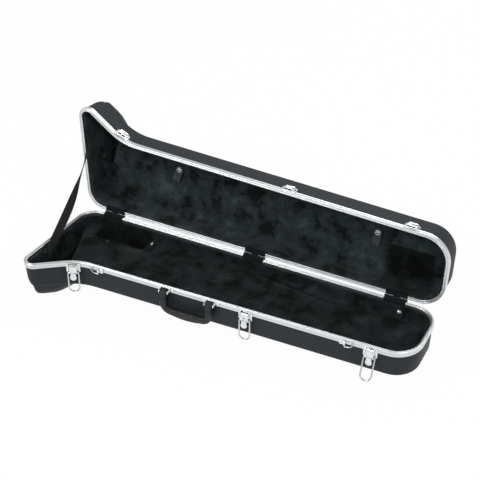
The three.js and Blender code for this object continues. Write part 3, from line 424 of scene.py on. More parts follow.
def rim_profile(tongue):
    face = [(0, -RIM_HEIGHT)]
    for step in np.linspace(-1, 1, 7):
        sunk = GROOVE_DEPTH * math.cos(step * math.pi / 2) ** 2
        face.append((sunk, -GROOVE_CENTRE + step * GROOVE_HALF))
    face += arc(RIM_ROUND, -RIM_ROUND, RIM_ROUND, 180, 90, 4)
    low, high, soft = TONGUE_LOW, TONGUE_HIGH, TONGUE_ROUND
    if tongue:
        face += [(low, 0)] + arc(low + soft, TONGUE_HEIGHT - soft, soft, 180, 90, 4)
        face += arc(high - soft, TONGUE_HEIGHT - soft, soft, 90, 0, 4) + [(high, 0)]
    else:
        face += arc(low - soft, -soft, soft, 90, 0, 4) + [(low, -SLOT_DEPTH), (high, -SLOT_DEPTH)]
        face += arc(high + soft, -soft, soft, 180, 90, 4)
    web = RIM_WALL if tongue else SLOT_DEPTH + RIM_WALL
    return face + arc(RIM_WIDTH - RIM_ROUND, -RIM_ROUND, RIM_ROUND, 90, 0, 4) + [
        (RIM_WIDTH, -RIM_LIP), (RIM_WIDTH - RIM_WALL, -RIM_LIP),
        (RIM_WIDTH - RIM_WALL, -web), (RIM_WALL, -web), (RIM_WALL, -RIM_HEIGHT),
    ]


def rim_line(inset):
    line = np.concatenate([plan_arc(k, inset, RIM_ARC_STEPS) for k in range(5)])
    stations, cut = [], [False] * len(line)
    for centre in reversed(HINGE_CENTRES):
        for side, inside in ((1, False), (1, True), (-1, True), (-1, False)):
            stations.append((centre + side * NOTCH_HALF, -inset))
            cut.append(inside)
    return np.concatenate((line, stations)), np.array(cut)


def rim_mesh(name, tongue, place):
    profile = rim_profile(tongue)
    points = []
    for inset, height in profile:
        line, cut = rim_line(inset)
        heights = np.where(cut, min(height, -NOTCH_DEPTH), height)
        points.append(np.column_stack((line, heights)))
    faces = ring_faces(len(profile), len(line), closed=True)
    return solid_mesh(name, np.concatenate(points), faces, place, sharp=28, merge=1e-9)


finish = Finish("anodised aluminium", (0.74, 0.755, 0.77), 0.34, Metallic=1.0)
drawn = finish.texture("Noise", 60, stretch=(0.4, 3, 3), Detail=2.0)
finish.bump(drawn, 0.00003, 0.04)
finish.vary_roughness(drawn, 0.31, 0.36)
aluminium = finish.material
for half, place in HALVES.items():
    rim = rim_mesh(f"{half}_edge_profile", half == "base", place)
    finished(rim, [aluminium], "rim_aluminium", half, f"{half}_rim")


# --- Linings ---
# Moulded foam inserts covered with crushed black plush, each with a well for the bell. The
# base one has a pocket at the hinge side, the lid one is deeper and has a shallow recess.
LINING_GAP = 0.0003
LINING_FACE = 0.0128
LINING_TOP = RIM_LIP + LINING_GAP
LINING_DRAFT = 0.003
LINING_EDGE = 0.008
LINING_FLOORS = {"base": 0.031, "lid": 0.064}
WELL_BACK_X, WELL_FRONT_X, WELL_SLOPE = 0.044, 0.122, 0.026
POCKETS = {
    "base": ((0.0907 * CASE_LENGTH, 0.2331 * CASE_LENGTH), (-0.061, -0.017), 0.058),
    "lid": ((0.8354 * CASE_LENGTH, 0.9515 * CASE_LENGTH), (-0.093, -0.017), 0.0675),
}
POCKET_CORNER = 0.014
POCKET_SLOPE = 0.004
FOLD_DEPTH = 0.0009
FOLD_SIZE = 0.045
SEAM_WIDTH = 0.0035
SEAMS = {
    "base": (
        ((0.393, 0.0), (0.692, -0.045)),
        ((0.512, -0.024), (0.715, -0.041), (0.762, -0.028)),
    ),
    "lid": (
        ((0.140, 0.0), (0.140, -0.197)),
        ((0.030, -0.022), (0.050, -0.075), (0.089, -0.095), (0.123, -0.098), (0.131, -0.065)),
    ),
}
SEAM_DEPTH = 0.0010
# Per-half scale of the plush colour: the lid lining is painted about twice as bright as the base one.
# This is painted light standing in for the front light on the lid's upright floor. In the bell well the
# colour is also scaled by WELL_TONES.
LINING_PAINTED_LIGHT = {"base": 0.95, "lid": 1.9}
WELL_TONES = {"base": 1.8, "lid": 1.0}
# POCKET_SHADE darkens the plush over each pocket, and more softly over a wider zone that runs from it to
# the hinge wall: painted shade in the recesses.
POCKET_SHADE = 0.55
SHADE_REACH, SHADE_SLOPE = 0.010, 0.014
# SEAM_SHADE darkens the plush along the seams: painted shade in the creases.
SEAM_SHADE = 0.4


def well_share(points):
    line = WELL_BACK_X + (WELL_FRONT_X - WELL_BACK_X) * -points[..., 1] / BELL_END_WIDTH
    return 1 - smooth_share(points[..., 0] - line, -WELL_SLOPE, 0)


def pocket_share(points, x_range, y_range, slope=POCKET_SLOPE):
    middle = np.array((sum(x_range) / 2, sum(y_range) / 2))
    half = np.array((x_range[1] - x_range[0], y_range[1] - y_range[0])) / 2 - POCKET_CORNER
    beyond = np.maximum(np.abs(points - middle) - half, 0)
    return 1 - smooth_share(np.linalg.norm(beyond, axis=-1) - POCKET_CORNER, -slope, 0)


def seam_share(points, line):
    nearest = distance_to(points, np.array(line[:-1]), np.array(line[1:]))
    return np.exp(-(nearest / SEAM_WIDTH) ** 2)


def soft_folds(points):
    flat = points.reshape(-1, 2) / FOLD_SIZE
    folds = [noise.fractal(Vector((x, y, 0)), 1.0, 2.0, 3) for x, y in flat]
    return np.clip(np.array(folds) + 0.5, 0, 1.5).reshape(points.shape[:-1])


def lining_floor(half):
    def depth(points):
        well = underside_depth(points, LINING_FACE - SHELL_INSET)
        share = well_share(points)
        floor = LINING_FLOORS[half] * (1 - share) + well * share
        x_range, y_range, bottom = POCKETS[half]
        sunk = pocket_share(points, x_range, y_range)
        soft = FOLD_DEPTH * soft_folds(points)
        for line in SEAMS[half]:
            soft = soft + SEAM_DEPTH * seam_share(points, line)
        return floor + np.maximum(0, bottom - floor) * sunk + soft
    return depth


# Stores a per-point 'tone' attribute of painted light and painted shade for the plush: the half's
# brightness, the scale in the bell well, and darkening over the pockets and along the seams.
def paint_pile_light_and_shade(lining, half, place):
    upright = place.inverted()
    spots = np.array([(upright @ vertex.co)[:2] for vertex in lining.data.vertices])
    x_range, y_range, _ = POCKETS[half]
    # Painted shade: a soft zone reaching to the hinge wall and the sharp pocket outline both darken the
    # colour.
    shaded = (x_range[0] - SHADE_REACH, x_range[1] + SHADE_REACH)
    soft = pocket_share(spots, shaded, (y_range[0] - SHADE_REACH / 2, 0.02), SHADE_SLOPE)
    sharp = pocket_share(spots, x_range, y_range)
    tone = LINING_PAINTED_LIGHT[half] * (1 + (WELL_TONES[half] - 1) * well_share(spots))
    tone = tone * (1 - POCKET_SHADE * soft) * (1 - POCKET_SHADE * sharp)
    # Painted shade along each seam.
    for line in SEAMS[half]:
        tone = tone * (1 - SEAM_SHADE * seam_share(spots, line))
    shade = lining.data.attributes.new("tone", "FLOAT", "POINT")
    shade.data.foreach_set("value", tone.astype(np.float32))


finish = Finish(
    "black plush", (0.012, 0.0135, 0.015), 0.95,
    Sheen_Weight=0.12, Sheen_Roughness=0.4, Specular_IOR_Level=0.10,
)
nap = finish.texture("Noise", 21, Detail=8.0, Roughness=0.66, Distortion=0.3)
crushed = finish.ramp(nap, [
    (0.40, (0.0022, 0.0030, 0.0032)), (0.48, (0.0092, 0.0124, 0.0129)),
    (0.56, (0.0120, 0.0162, 0.0168)), (0.68, (0.0230, 0.0300, 0.0310)),
])
# The crushed plush colour is multiplied by the 'tone' attribute, which holds the painted light and
# painted shade.
tone = finish.nodes.new("ShaderNodeAttribute")
tone.attribute_name = "tone"
pile_with_painted_light = finish.nodes.new("ShaderNodeVectorMath")
pile_with_painted_light.operation = "SCALE"
finish.links.new(crushed, pile_with_painted_light.inputs[0])
finish.links.new(tone.outputs["Fac"], pile_with_painted_light.inputs["Scale"])
finish.links.new(pile_with_painted_light.outputs["Vector"], finish.shader.inputs["Base Color"])
fold = finish.bump(nap, 0.006, 0.6)
finish.bump(finish.texture("Noise", 900, Detail=3.0), 0.0006, 0.6, fold)
plush = finish.material
for half, place in HALVES.items():
    wall = SHELL_WALLS[half] + LINING_GAP
    floor_at = lining_floor(half)
    outer = shell_surface(LINING_TOP, wall)
    inner = tray_surface(
        wall_rings(LINING_FACE, LINING_TOP, LINING_DRAFT, LINING_EDGE, floor_at),
        floor_at,
    )
    lining = tray_mesh(f"{half}_plush_lining", outer, inner, place)
    paint_pile_light_and_shade(lining, half, place)
    finished(lining, [plush], "plush", half, f"{half}_lining")


# --- Latches and keepers ---
# Chromed draw latches: a riveted back plate with two cheeks, a lever with a rounded finger
# tab and a wire bail; the middle one locks. The keepers have a raised hook for the bail.
LATCH_CENTRES = [share * CASE_LENGTH for share in (0.1255, 0.5854, 0.8966)]
LOCKING_LATCH = 2
LATCH_WIDTH = 0.033
LATCH_TOP, LATCH_BOTTOM = -0.0008, -0.0298
LATCH_TAPER, LATCH_CORNER = 0.0055, 0.0008
LATCH_WALL = 0.0016
STAMPED_EDGE, THIN_EDGE, SOFT_EDGE = 0.0004, 0.0003, 0.0006
LATCH_RIVETS = ((-0.0134, 0.0134), (-0.0053, -0.0155), (0.0017, 0.0008))
CHEEK_WALL = 0.0015
CHEEK_REACH, CHEEK_BOTTOM = 0.009, -0.0178
CHEEK_ROUND, CHEEK_CUT = 0.003, 0.005
PIVOT_BACK, PIVOT_DROP = 0.0055, 0.0065
PIVOT_PIN, PIVOT_PIN_END = 0.0012, 0.0002
LEVER_WIDTH = 0.018
LEVER_WALL = 0.0018
LEVER_LENGTH = 0.022
LEVER_FACE, LEVER_BACK = 0.0038, 0.0026
LEVER_MARGIN = 0.0004
LEVER_TUBE = 0.0018
FLANGE_RADII = (0.0030, 0.0008, 0.0025, 0.002)
COVER_LENGTH, COVER_TOP = 0.0172, 0.0008
COVER_RADII = (0.0024, 0.0024, 0.0008, 0.0008)
LOCK_HOLE, LOCK_DROP = 0.0026, 0.0010
NECK_GAP = 0.0012
FINGER_WIDTH, FINGER_NECK = 0.0155, 0.0125
FINGER_LENGTH = 0.0195
FINGER_KINK = math.radians(7)
FINGER_RIM, FINGER_RIM_RISE, FINGER_RIM_EDGE = 0.0028, 0.0009, 0.00035
WEB_WALL, WEB_HEIGHT, WEB_SINK, WEB_EDGE = 0.0008, 0.0030, 0.0014, 0.0002
HOOD_WALL, HOOD_RISE = 0.0012, 0.0018
HOOD_RIVETS = ((-0.0056, 0.0056), (-0.0030, -0.0132), (0.0012, 0.0006))
BAIL_RADIUS = 0.00185
BAIL_HALF, BAIL_DROP = 0.0127, 0.0536
BAIL_TURN, BAIL_BEND = 0.0026, 0.0124
KEEPER_WIDTH = 0.036
KEEPER_LOW, KEEPER_TOP = 0.0008, 0.0258
KEEPER_RADII = (0.0015, 0.0015, 0.009, 0.009)
RAISED_HALF, RAISED_LOW, RAISED_TOP = 0.0135, 0.0026, 0.0218
RAISED_RADII = (0.002, 0.002, 0.006, 0.006)
RAISED_WALL, RAISED_OUT = 0.0022, 0.0007
KEEPER_SLOTS, KEEPER_SLOT = (-0.0066, 0.0040), 0.0084
SLOT_LOW, SLOT_HIGH, SLOT_ROUND = 0.0046, 0.0112, 0.001
RECESS_WALL, RECESS_EDGE = 0.0004, 0.0001
KEEPER_HOOK = (
    (0.0005, 0.0178), (-0.0046, 0.0178), (-0.0050, 0.0205), (-0.0038, 0.0205),
    (-0.0032, 0.0193), (0.0005, 0.0193),
)
HOOK_WIDTH = 0.021
KEEPER_RIVETS = ((-0.0155, 0.0155), (0.0055,), (0.0018, 0.0009))
TOP_RIVET = ((0,), (0.0236,), (0.0018, 0.0009))
KEEPER_SCREW = (0.0152, 0.0140, 0.0017)
SEAT_GAP = 0.0003
UPRIGHT = Matrix(((1, 0, 0, 0), (0, 0, -1, 0), (0, 1, 0, 0), (0, 0, 0, 1)))
SIDEWAYS = Matrix(((0, 0, 1, 0), (1, 0, 0, 0), (0, 1, 0, 0), (0, 0, 0, 1)))


def rim_place(x, width, half):
    line = plan_lines(0)[0][ARC_STEPS:]
    spots = np.linspace(x - width / 2, x + width / 2, 17)
    depths = np.interp(spots, line[:, 0], line[:, 1])
    angle = math.atan2(depths[-1] - depths[0], width)
    outwards = np.array((math.sin(angle), -math.cos(angle)))
    offsets = np.column_stack((spots - x, depths - depths[8]))
    spot = np.array((x, depths[8])) + outwards * max(0, (offsets @ outwards).max())
    turn = Matrix.Rotation(angle, 4, "Z")
    return HALVES[half] @ shifted(spot[0], spot[1], CLOSED_GAP if half == "lid" else 0) @ turn


def round_box(x0, y0, x1, y1, *radii):
    low_left, low_right, high_right, high_left = radii * (4 // len(radii))
    return (
        arc(x0 + low_left, y0 + low_left, low_left, 180, 270)
        + arc(x1 - low_right, y0 + low_right, low_right, 270, 360)
        + arc(x1 - high_right, y1 - high_right, high_right, 0, 90)
        + arc(x0 + high_left, y1 - high_left, high_left, 90, 180)
    )


def stamped(outlines, thickness, place, edge=STAMPED_EDGE):
    curve = bpy.data.curves.new("stamping", "CURVE")
    curve.dimensions = "2D"
    curve.fill_mode = "BOTH"
    curve.extrude = thickness / 2 - edge
    curve.bevel_depth = edge
    curve.bevel_resolution = 2
    curve.offset = -edge
    for outline in outlines:
        add_line(curve, [(x, y, 0) for x, y in outline], True)
    return from_curve(curve, place)


def add_line(curve, path, closed):
    spline = curve.splines.new("POLY")
    spline.points.add(len(path) - 1)
    spline.use_cyclic_u = closed
    for point, spot in zip(spline.points, path):
        point.co = (*spot, 1)


def wire(path, radius, place, closed=False):
    curve = bpy.data.curves.new("wire", "CURVE")
    curve.dimensions = "3D"
    curve.bevel_depth = radius
    curve.bevel_resolution = 4
    curve.use_fill_caps = not closed
    add_line(curve, path, closed)
    return from_curve(curve, place)


def from_curve(curve, place):
    holder = bpy.data.objects.new("holder", curve)
    mesh = bpy.data.meshes.new_from_object(holder)
    bpy.data.objects.remove(holder)
    bpy.data.curves.remove(curve)
    mesh.transform(place)
    return mesh


def scatter_group(name, sizes, segments, rings, axis):
    group = bpy.data.node_groups.new(name, "GeometryNodeTree")
    kinds = [("Geometry", "Geometry"), *((size, "Float") for size in sizes), ("Finish", "Material")]
    for socket, kind in kinds:
        group.interface.new_socket(socket, in_out="INPUT", socket_type=f"NodeSocket{kind}")
    group.interface.new_socket("Geometry", in_out="OUTPUT", socket_type="NodeSocketGeometry")
    nodes = group.nodes
    inputs, output = nodes.new("NodeGroupInput"), nodes.new("NodeGroupOutput")
    bead = nodes.new("GeometryNodeMeshUVSphere")
    set_inputs(bead, Segments=segments, Rings=rings)
    size = nodes.new("ShaderNodeCombineXYZ")
    shape = nodes.new("GeometryNodeTransform")
    turn = nodes.new("FunctionNodeAlignRotationToVector")
    turn.axis = axis
    spread = nodes.new("GeometryNodeInstanceOnPoints")
    real = nodes.new("GeometryNodeRealizeInstances")
    coat = nodes.new("GeometryNodeSetMaterial")
    join(group, [
        (bead, "Mesh", shape, "Geometry"), (size, "Vector", shape, "Scale"),
        (shape, "Geometry", spread, "Instance"), (turn, "Rotation", spread, "Rotation"),
        (spread, "Instances", real, "Geometry"), (real, "Geometry", coat, "Geometry"),
        (inputs, "Finish", coat, "Material"), (coat, "Geometry", output, "Geometry"),
    ])
    return group, inputs, size, turn, spread


def join(tree, wires):
    for source, output, target, socket in wires:
        tree.links.new(source.outputs[output], target.inputs[socket])


def rivet_group():
    group, inputs, size, turn, spread = scatter_group("rivets", ("Radius", "Height"), 16, 8, "Z")
    facing = group.nodes.new("GeometryNodeInputNamedAttribute")
    facing.data_type = "FLOAT_VECTOR"
    set_inputs(facing, Name="outwards")
    join(group, [
        (inputs, "Radius", size, "X"), (inputs, "Radius", size, "Y"), (inputs, "Height", size, "Z"),
        (facing, "Attribute", turn, "Vector"), (inputs, "Geometry", spread, "Points"),
    ])
    return group


rivet_nodes = rivet_group()


def repeated(group, carrier, values, place):
    holder = bpy.data.objects.new("holder", carrier)
    bpy.context.collection.objects.link(holder)
    modifier = holder.modifiers.new("repeat", "NODES")
    modifier.node_group = group
    for item in group.interface.items_tree:
        if item.name in values:
            modifier[item.identifier] = values[item.name]
    bpy.context.view_layer.update()
    evaluated = holder.evaluated_get(bpy.context.evaluated_depsgraph_get())
    mesh = bpy.data.meshes.new_from_object(evaluated)
    holder.modifiers.clear()
    bpy.data.objects.remove(holder)
    bpy.data.meshes.remove(carrier)
    mesh.transform(place)
    return mesh


def rivets(spots, outwards, size, finish, place):
    carrier = bpy.data.meshes.new("spots")
    carrier.from_pydata(spots, [], [])
    facing = carrier.attributes.new("outwards", "FLOAT_VECTOR", "POINT")
    facing.data.foreach_set("vector", [value for _ in spots for value in outwards])
    values = {"Radius": size[0], "Height": size[1], "Finish": finish}
    return repeated(rivet_nodes, carrier, values, place)


def assembled(name, parts, finish, slot, body, *nodes_replaced, sharp=32):
    work = bmesh.new()
    finishes = [finish]
    for part in parts:
        own = next((used for used in part.materials if used), finish)
        if own not in finishes:
            finishes.append(own)
        clean(part, 1e-6, 1e-7, finishes.index(own))
        work.from_mesh(part)
    mesh = bpy.data.meshes.new(name)
    work.to_mesh(mesh)
    work.free()
    for part in parts:
        bpy.data.meshes.remove(part)
    finished(placed(name, mesh, sharp), finishes, slot, body, *nodes_replaced)


def bend(corners, radii, steps=12):
    path = [Vector(corners[0])]
    for before, corner, after, radius in zip(corners, corners[1:], corners[2:], radii):
        corner = Vector(corner)
        inwards = (corner - Vector(before)).normalized() * radius
        onwards = (Vector(after) - corner).normalized() * radius
        for angle in np.linspace(0, math.pi / 2, steps + 1):
            path.append(corner - inwards + inwards * math.sin(angle) + onwards * (1 - math.cos(angle)))
    return path + [Vector(corners[-1])]


finish = Finish("chrome", (0.74, 0.755, 0.77), 0.16, Metallic=1.0)
finish.vary_roughness(finish.texture("Noise", 120, Detail=4.0), 0.10, 0.24)
# An ambient occlusion node darkens the chrome's colour in crevices and between parts: painted shade.
shade = finish.nodes.new("ShaderNodeAmbientOcclusion")
set_inputs(shade, Distance=0.004)
shade.samples = 8
finish.vary_color(shade.outputs["AO"], [(0.2, (0.04, 0.043, 0.046)), (0.62, (0.78, 0.79, 0.80))])
chrome = finish.material
# Near-black material for thin sheets set behind the keeper slots and in the screw hole: painted shadow.
finish = Finish("dark recess", (0.012, 0.013, 0.014), 0.8, Specular_IOR_Level=0.1)
finish.bump(finish.texture("Noise", 200, Detail=3.0), 0.0001, 0.3)
painted_shadow_black = finish.material
finish = Finish("chromed wire", (0.60, 0.615, 0.63), 0.2, Metallic=1.0)
finish.vary_roughness(finish.texture("Noise", 160, Detail=4.0), 0.14, 0.3)
wire_steel = finish.material


def chromed(name, parts, body, node):
    assembled(name, parts, chrome, "chrome", body, node)


def flat_on(place, y):
    return place @ shifted(0, y, 0) @ UPRIGHT


def edge_on(place, x=0):
    return place @ shifted(x, 0, 0) @ SIDEWAYS


def seated(outline, thickness, place, edge=STAMPED_EDGE):
    return stamped([outline], thickness, flat_on(place, -SEAT_GAP - thickness / 2), edge)


def pair(outline, thickness, place, apart, edge=STAMPED_EDGE):
    return [stamped([outline], thickness, edge_on(place, x), edge) for x in (-apart, apart)]


def front_rivets(place, y, across, heights, size):
    return rivets([(x, y, z) for x in across for z in heights], (0, -1, 0), size, chrome, place)


for number, x in enumerate(LATCH_CENTRES, 1):
    place = rim_place(x, LATCH_WIDTH, "base")
    half = LATCH_WIDTH / 2
    face = -SEAT_GAP - LATCH_WALL
    plate = [
        (half - LATCH_CORNER, LATCH_TOP), (-half + LATCH_CORNER, LATCH_TOP),
        (-half, LATCH_TOP - LATCH_CORNER), (-half, LATCH_BOTTOM + LATCH_TAPER),
        (-half + LATCH_TAPER, LATCH_BOTTOM), (half - LATCH_TAPER, LATCH_BOTTOM),
        (half, LATCH_BOTTOM + LATCH_TAPER), (half, LATCH_TOP - LATCH_CORNER),
    ]
    front = face - CHEEK_REACH
    cheek = [
        (-LATCH_WALL, LATCH_TOP), (front + CHEEK_ROUND, LATCH_TOP),
        *arc(front + CHEEK_ROUND, LATCH_TOP - CHEEK_ROUND, CHEEK_ROUND, 90, 180),
        (front, CHEEK_BOTTOM + CHEEK_CUT), (front + CHEEK_CUT, CHEEK_BOTTOM),
        (-LATCH_WALL, CHEEK_BOTTOM),
    ]
    outer = LEVER_WIDTH / 2 + SEAT_GAP + CHEEK_WALL
    pin_end = outer + PIVOT_PIN_END
    parts = [
        seated(plate, LATCH_WALL, place),
        *pair(cheek, CHEEK_WALL, place, outer - CHEEK_WALL / 2),
        wire([(end, -PIVOT_BACK, -PIVOT_DROP) for end in (-pin_end, pin_end)], PIVOT_PIN, place),
        front_rivets(place, face, *LATCH_RIVETS),
    ]
    chromed(f"latch_{number}_back_plate", parts, "base", f"latch_{number}_plate")

    pivot = place @ shifted(0, -PIVOT_BACK, -PIVOT_DROP)
    half = LEVER_WIDTH / 2
    cover = [round_box(-half, -COVER_LENGTH, half, COVER_TOP, *COVER_RADII)]
    if number == LOCKING_LATCH:
        cover.append(arc(0, -COVER_LENGTH / 2 - LOCK_DROP, LOCK_HOLE, 0, 345, 23))
    flange = round_box(
        -LEVER_FACE + LEVER_MARGIN, -LEVER_LENGTH + LEVER_MARGIN, LEVER_BACK, LEVER_BACK, *FLANGE_RADII,
    )
    neck, tip = FINGER_NECK / 2, FINGER_WIDTH / 2
    swell = math.degrees(math.acos(neck / tip))
    middle = tip - FINGER_LENGTH
    finger = [(-neck, 0), *arc(0, middle, tip, 180 - swell, 360 + swell, 26), (neck, 0)]
    web = round_box(-neck, -NECK_GAP, neck, WEB_HEIGHT, THIN_EDGE)
    rim = arc(0, middle, tip - FINGER_RIM, 0, 345, 23)
    kinked = (
        pivot @ shifted(0, -LEVER_FACE + LEVER_WALL / 2, -COVER_LENGTH - NECK_GAP)
        @ Matrix.Rotation(-FINGER_KINK, 4, "X") @ UPRIGHT
    )
    parts = [
        stamped(cover, LEVER_WALL, flat_on(pivot, -LEVER_FACE + LEVER_WALL / 2)),
        *pair(flange, LEVER_WALL, pivot, half - LEVER_WALL / 2, THIN_EDGE),
        wire([(-half + 0.001, 0, 0), (half - 0.001, 0, 0)], LEVER_TUBE, pivot),
        stamped([finger], LEVER_WALL, kinked, SOFT_EDGE),
        stamped([web], WEB_WALL, kinked @ shifted(0, 0, -WEB_SINK), WEB_EDGE),
        stamped([rim], WEB_WALL, kinked @ shifted(0, 0, FINGER_RIM_RISE), FINGER_RIM_EDGE),
    ]
    if number != LOCKING_LATCH:
        hood = round_box(-half, -LEVER_FACE + LEVER_MARGIN, half, PIVOT_BACK + face, SOFT_EDGE)
        parts.append(stamped([hood], HOOD_WALL, pivot @ shifted(0, 0, HOOD_RISE), THIN_EDGE))
        parts.append(front_rivets(pivot, -LEVER_FACE, *HOOD_RIVETS))
    chromed(f"latch_{number}_draw_lever", parts, f"lever_{number}", f"latch_{number}_lever")

    joint = packed_joint(f"bail_{number}_swing")
    across = Vector(joint["axis"]).normalized()
    swing_spot = Vector(joint["pos_m"])
    lowest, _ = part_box(f"latch_{number}_bail")
    fall = min(1, (swing_spot.z - lowest[2] - BAIL_RADIUS) / BAIL_DROP)
    outwards = across.cross(Vector((0, 0, 1)))
    hang = outwards * math.sqrt(1 - fall ** 2) - Vector((0, 0, fall))
    hang = (hang - across * hang.dot(across)).normalized()
    swing = Matrix((across, across.cross(hang), -hang)).transposed().to_4x4()
    swing.translation = swing_spot
    arm = [(LEVER_WALL - LEVER_WIDTH / 2, 0, 0), (-BAIL_HALF, 0, 0), (-BAIL_HALF, 0, -BAIL_DROP)]
    loop = bend(
        arm + [(-x, y, z) for x, y, z in reversed(arm)],
        (BAIL_TURN, BAIL_BEND, BAIL_BEND, BAIL_TURN),
    )
    assembled(
        f"latch_{number}_wire_bail", [wire(loop, BAIL_RADIUS, swing)],
        wire_steel, "chrome", f"bail_{number}", f"latch_{number}_bail",
    )

    place = rim_place(x, KEEPER_WIDTH, "lid")
    half = KEEPER_WIDTH / 2
    plate = round_box(-half, KEEPER_LOW, half, KEEPER_TOP, *KEEPER_RADII)
    raised = round_box(-RAISED_HALF, RAISED_LOW, RAISED_HALF, RAISED_TOP, *RAISED_RADII)
    slots = [
        round_box(middle - KEEPER_SLOT / 2, SLOT_LOW, middle + KEEPER_SLOT / 2, SLOT_HIGH, SLOT_ROUND)
        for middle in KEEPER_SLOTS
    ]
    ahead = flat_on(place, face - RAISED_OUT)
    sunk = ahead @ shifted(0, 0, -RECESS_WALL)
    parts = [
        seated(plate, LATCH_WALL, place, 0.0005),
        stamped([raised, *(slot[::-1] for slot in slots)], RAISED_WALL, ahead, SOFT_EDGE),
        stamped([[(face + y, z) for y, z in KEEPER_HOOK]], HOOK_WIDTH, edge_on(place)),
        front_rivets(place, face, *KEEPER_RIVETS),
        front_rivets(place, face, *TOP_RIVET),
    ]
    screw = arc(*KEEPER_SCREW, 0, 330, 11)
    level = flat_on(place, face - RECESS_WALL / 2)
    # Thin black sheets behind the two slots and in the screw hole stand in for their shade: painted
    # shadow.
    for dark, seat in ((slots[0], sunk), (slots[1], sunk), (screw, level)):
        shadow_sheet = stamped([dark], RECESS_WALL, seat, RECESS_EDGE)
        shadow_sheet.materials.append(painted_shadow_black)
        parts.append(shadow_sheet)
    chromed(f"keeper_{number}_hooked_plate", parts, "lid", f"keeper_{number}")


# --- Carrying handle ---
# A moulded handle with finger waves, its ends ribbed, hung by pins in two riveted brackets.
HANDLE_X = 0.4357 * CASE_LENGTH
LEG_SPREAD, LEG_WIDTH = 0.114, 0.018
HANDLE_THICKNESS = 0.017
HANDLE_DROP = 0.057
HANDLE_BELLY = 0.0045
HANDLE_CORNER = 0.029
HANDLE_EDGE = 0.0045
LEG_TOP, LEG_TAPER = 0.005, 0.001
GRIP_HEIGHT = 0.0175
HANDLE_BACK, HANDLE_PIN_DROP = 0.0112, 0.0064
WAVES, WAVE_DEPTH = 4, 0.0024
RIB_HEIGHTS, RIB_PROUD, RIB_WIRE = (-0.0100, -0.0128, -0.0156, -0.0184), 0.0002, 0.0006
EAR_WALL, EAR_RADIUS = 0.0016, 0.0045
BRACKET_HALF, BRACKET_FOOT = 0.0112, 0.0212
BRACKET_HEIGHT = 0.0102
BRACKET_RIVETS = ((-0.0167, 0.0167), (-0.0056,), (0.0028, 0.0015))
HANDLE_PIN, HANDLE_PIN_HEAD, HANDLE_PIN_END = 0.0019, (0.0031, 0.0012), 0.0118
MOUTH_ROUND = 0.007
handle_place = rim_place(HANDLE_X, LEG_SPREAD, "base")
handle_pivot = handle_place @ shifted(0, -HANDLE_BACK, -HANDLE_PIN_DROP)
finish = Finish("handle plastic", (0.013, 0.0145, 0.016), 0.42, Specular_IOR_Level=0.35)
finish.bump(finish.texture("Voronoi", 1400), 0.00008, 0.5)
finish.vary_roughness(finish.texture("Noise", 45, Detail=5.0), 0.36, 0.52, 0.35)
handle_plastic = finish.material
side, mouth = (LEG_SPREAD + LEG_WIDTH) / 2, (LEG_SPREAD - LEG_WIDTH) / 2
grip = -HANDLE_DROP + GRIP_HEIGHT
waves = []
for share in np.linspace(0, 1, 65):
    wave = WAVE_DEPTH * abs(math.sin(share * WAVES * math.pi)) ** 0.8
    waves.append(((mouth - MOUTH_ROUND) * (1 - 2 * share), grip - wave))
belly = [
    ((side - HANDLE_CORNER) * step, -HANDLE_DROP - HANDLE_BELLY * (1 - step * step))
    for step in np.linspace(-0.82, 0.82, 15)
]
outline = (
    [(-side + LEG_TAPER, LEG_TOP)]
    + arc(HANDLE_CORNER - side, HANDLE_CORNER - HANDLE_DROP, HANDLE_CORNER, 180, 262, 14)
    + belly
    + arc(side - HANDLE_CORNER, HANDLE_CORNER - HANDLE_DROP, HANDLE_CORNER, 278, 360, 14)
    + [(side - LEG_TAPER, LEG_TOP), (mouth + LEG_TAPER, LEG_TOP)]
    + arc(mouth - MOUTH_ROUND, grip + MOUTH_ROUND, MOUTH_ROUND, 0, -90)
    + waves
    + arc(-mouth + MOUTH_ROUND, grip + MOUTH_ROUND, MOUTH_ROUND, 270, 180)
    + [(-mouth - LEG_TAPER, LEG_TOP)]
)
parts = [stamped([outline], HANDLE_THICKNESS, handle_pivot @ UPRIGHT, HANDLE_EDGE)]
rib_x, rib_y = LEG_WIDTH / 2 + RIB_PROUD, HANDLE_THICKNESS / 2 + RIB_PROUD
rib = round_box(-rib_x, -rib_y, rib_x, rib_y, 0.0042)
for end in (-1, 1):
    for rise in RIB_HEIGHTS:
        path = [(end * LEG_SPREAD / 2 + x, y, rise) for x, y in rib]
        parts.append(wire(path, RIB_WIRE, handle_pivot, closed=True))
assembled(
    "carrying_handle_grip", parts, handle_plastic, "handle_plastic", "carrying_handle", "handle",
    sharp=40,
)

for name, end in (("left", -1), ("right", 1)):
    place = handle_place @ shifted(end * LEG_SPREAD / 2, 0, 0)
    top = -(RIM_HEIGHT - BRACKET_HEIGHT) / 2
    foot = round_box(-BRACKET_FOOT, top - BRACKET_HEIGHT, BRACKET_FOOT, top, EAR_RADIUS)
    ear = [
        (-SEAT_GAP, top - BRACKET_HEIGHT), (-SEAT_GAP, top),
        *arc(-HANDLE_BACK, -HANDLE_PIN_DROP, EAR_RADIUS, 90, 270, 12),
    ]
    parts = [
        seated(foot, EAR_WALL, place),
        *pair(ear, EAR_WALL, place, BRACKET_HALF - EAR_WALL / 2, 0.0005),
        front_rivets(place, -SEAT_GAP - EAR_WALL, *BRACKET_RIVETS),
    ]
    chromed(f"handle_bracket_{name}_ears", parts, "base", f"handle_bracket_{name}")
    pin = [(x, -HANDLE_BACK, -HANDLE_PIN_DROP) for x in (-HANDLE_PIN_END, HANDLE_PIN_END)]
    parts = [wire(pin, HANDLE_PIN, place), rivets(pin, (1, 0, 0), HANDLE_PIN_HEAD, chrome, place)]
    chromed(f"handle_pin_{name}_rivet", parts, "base", f"handle_pin_{name}")


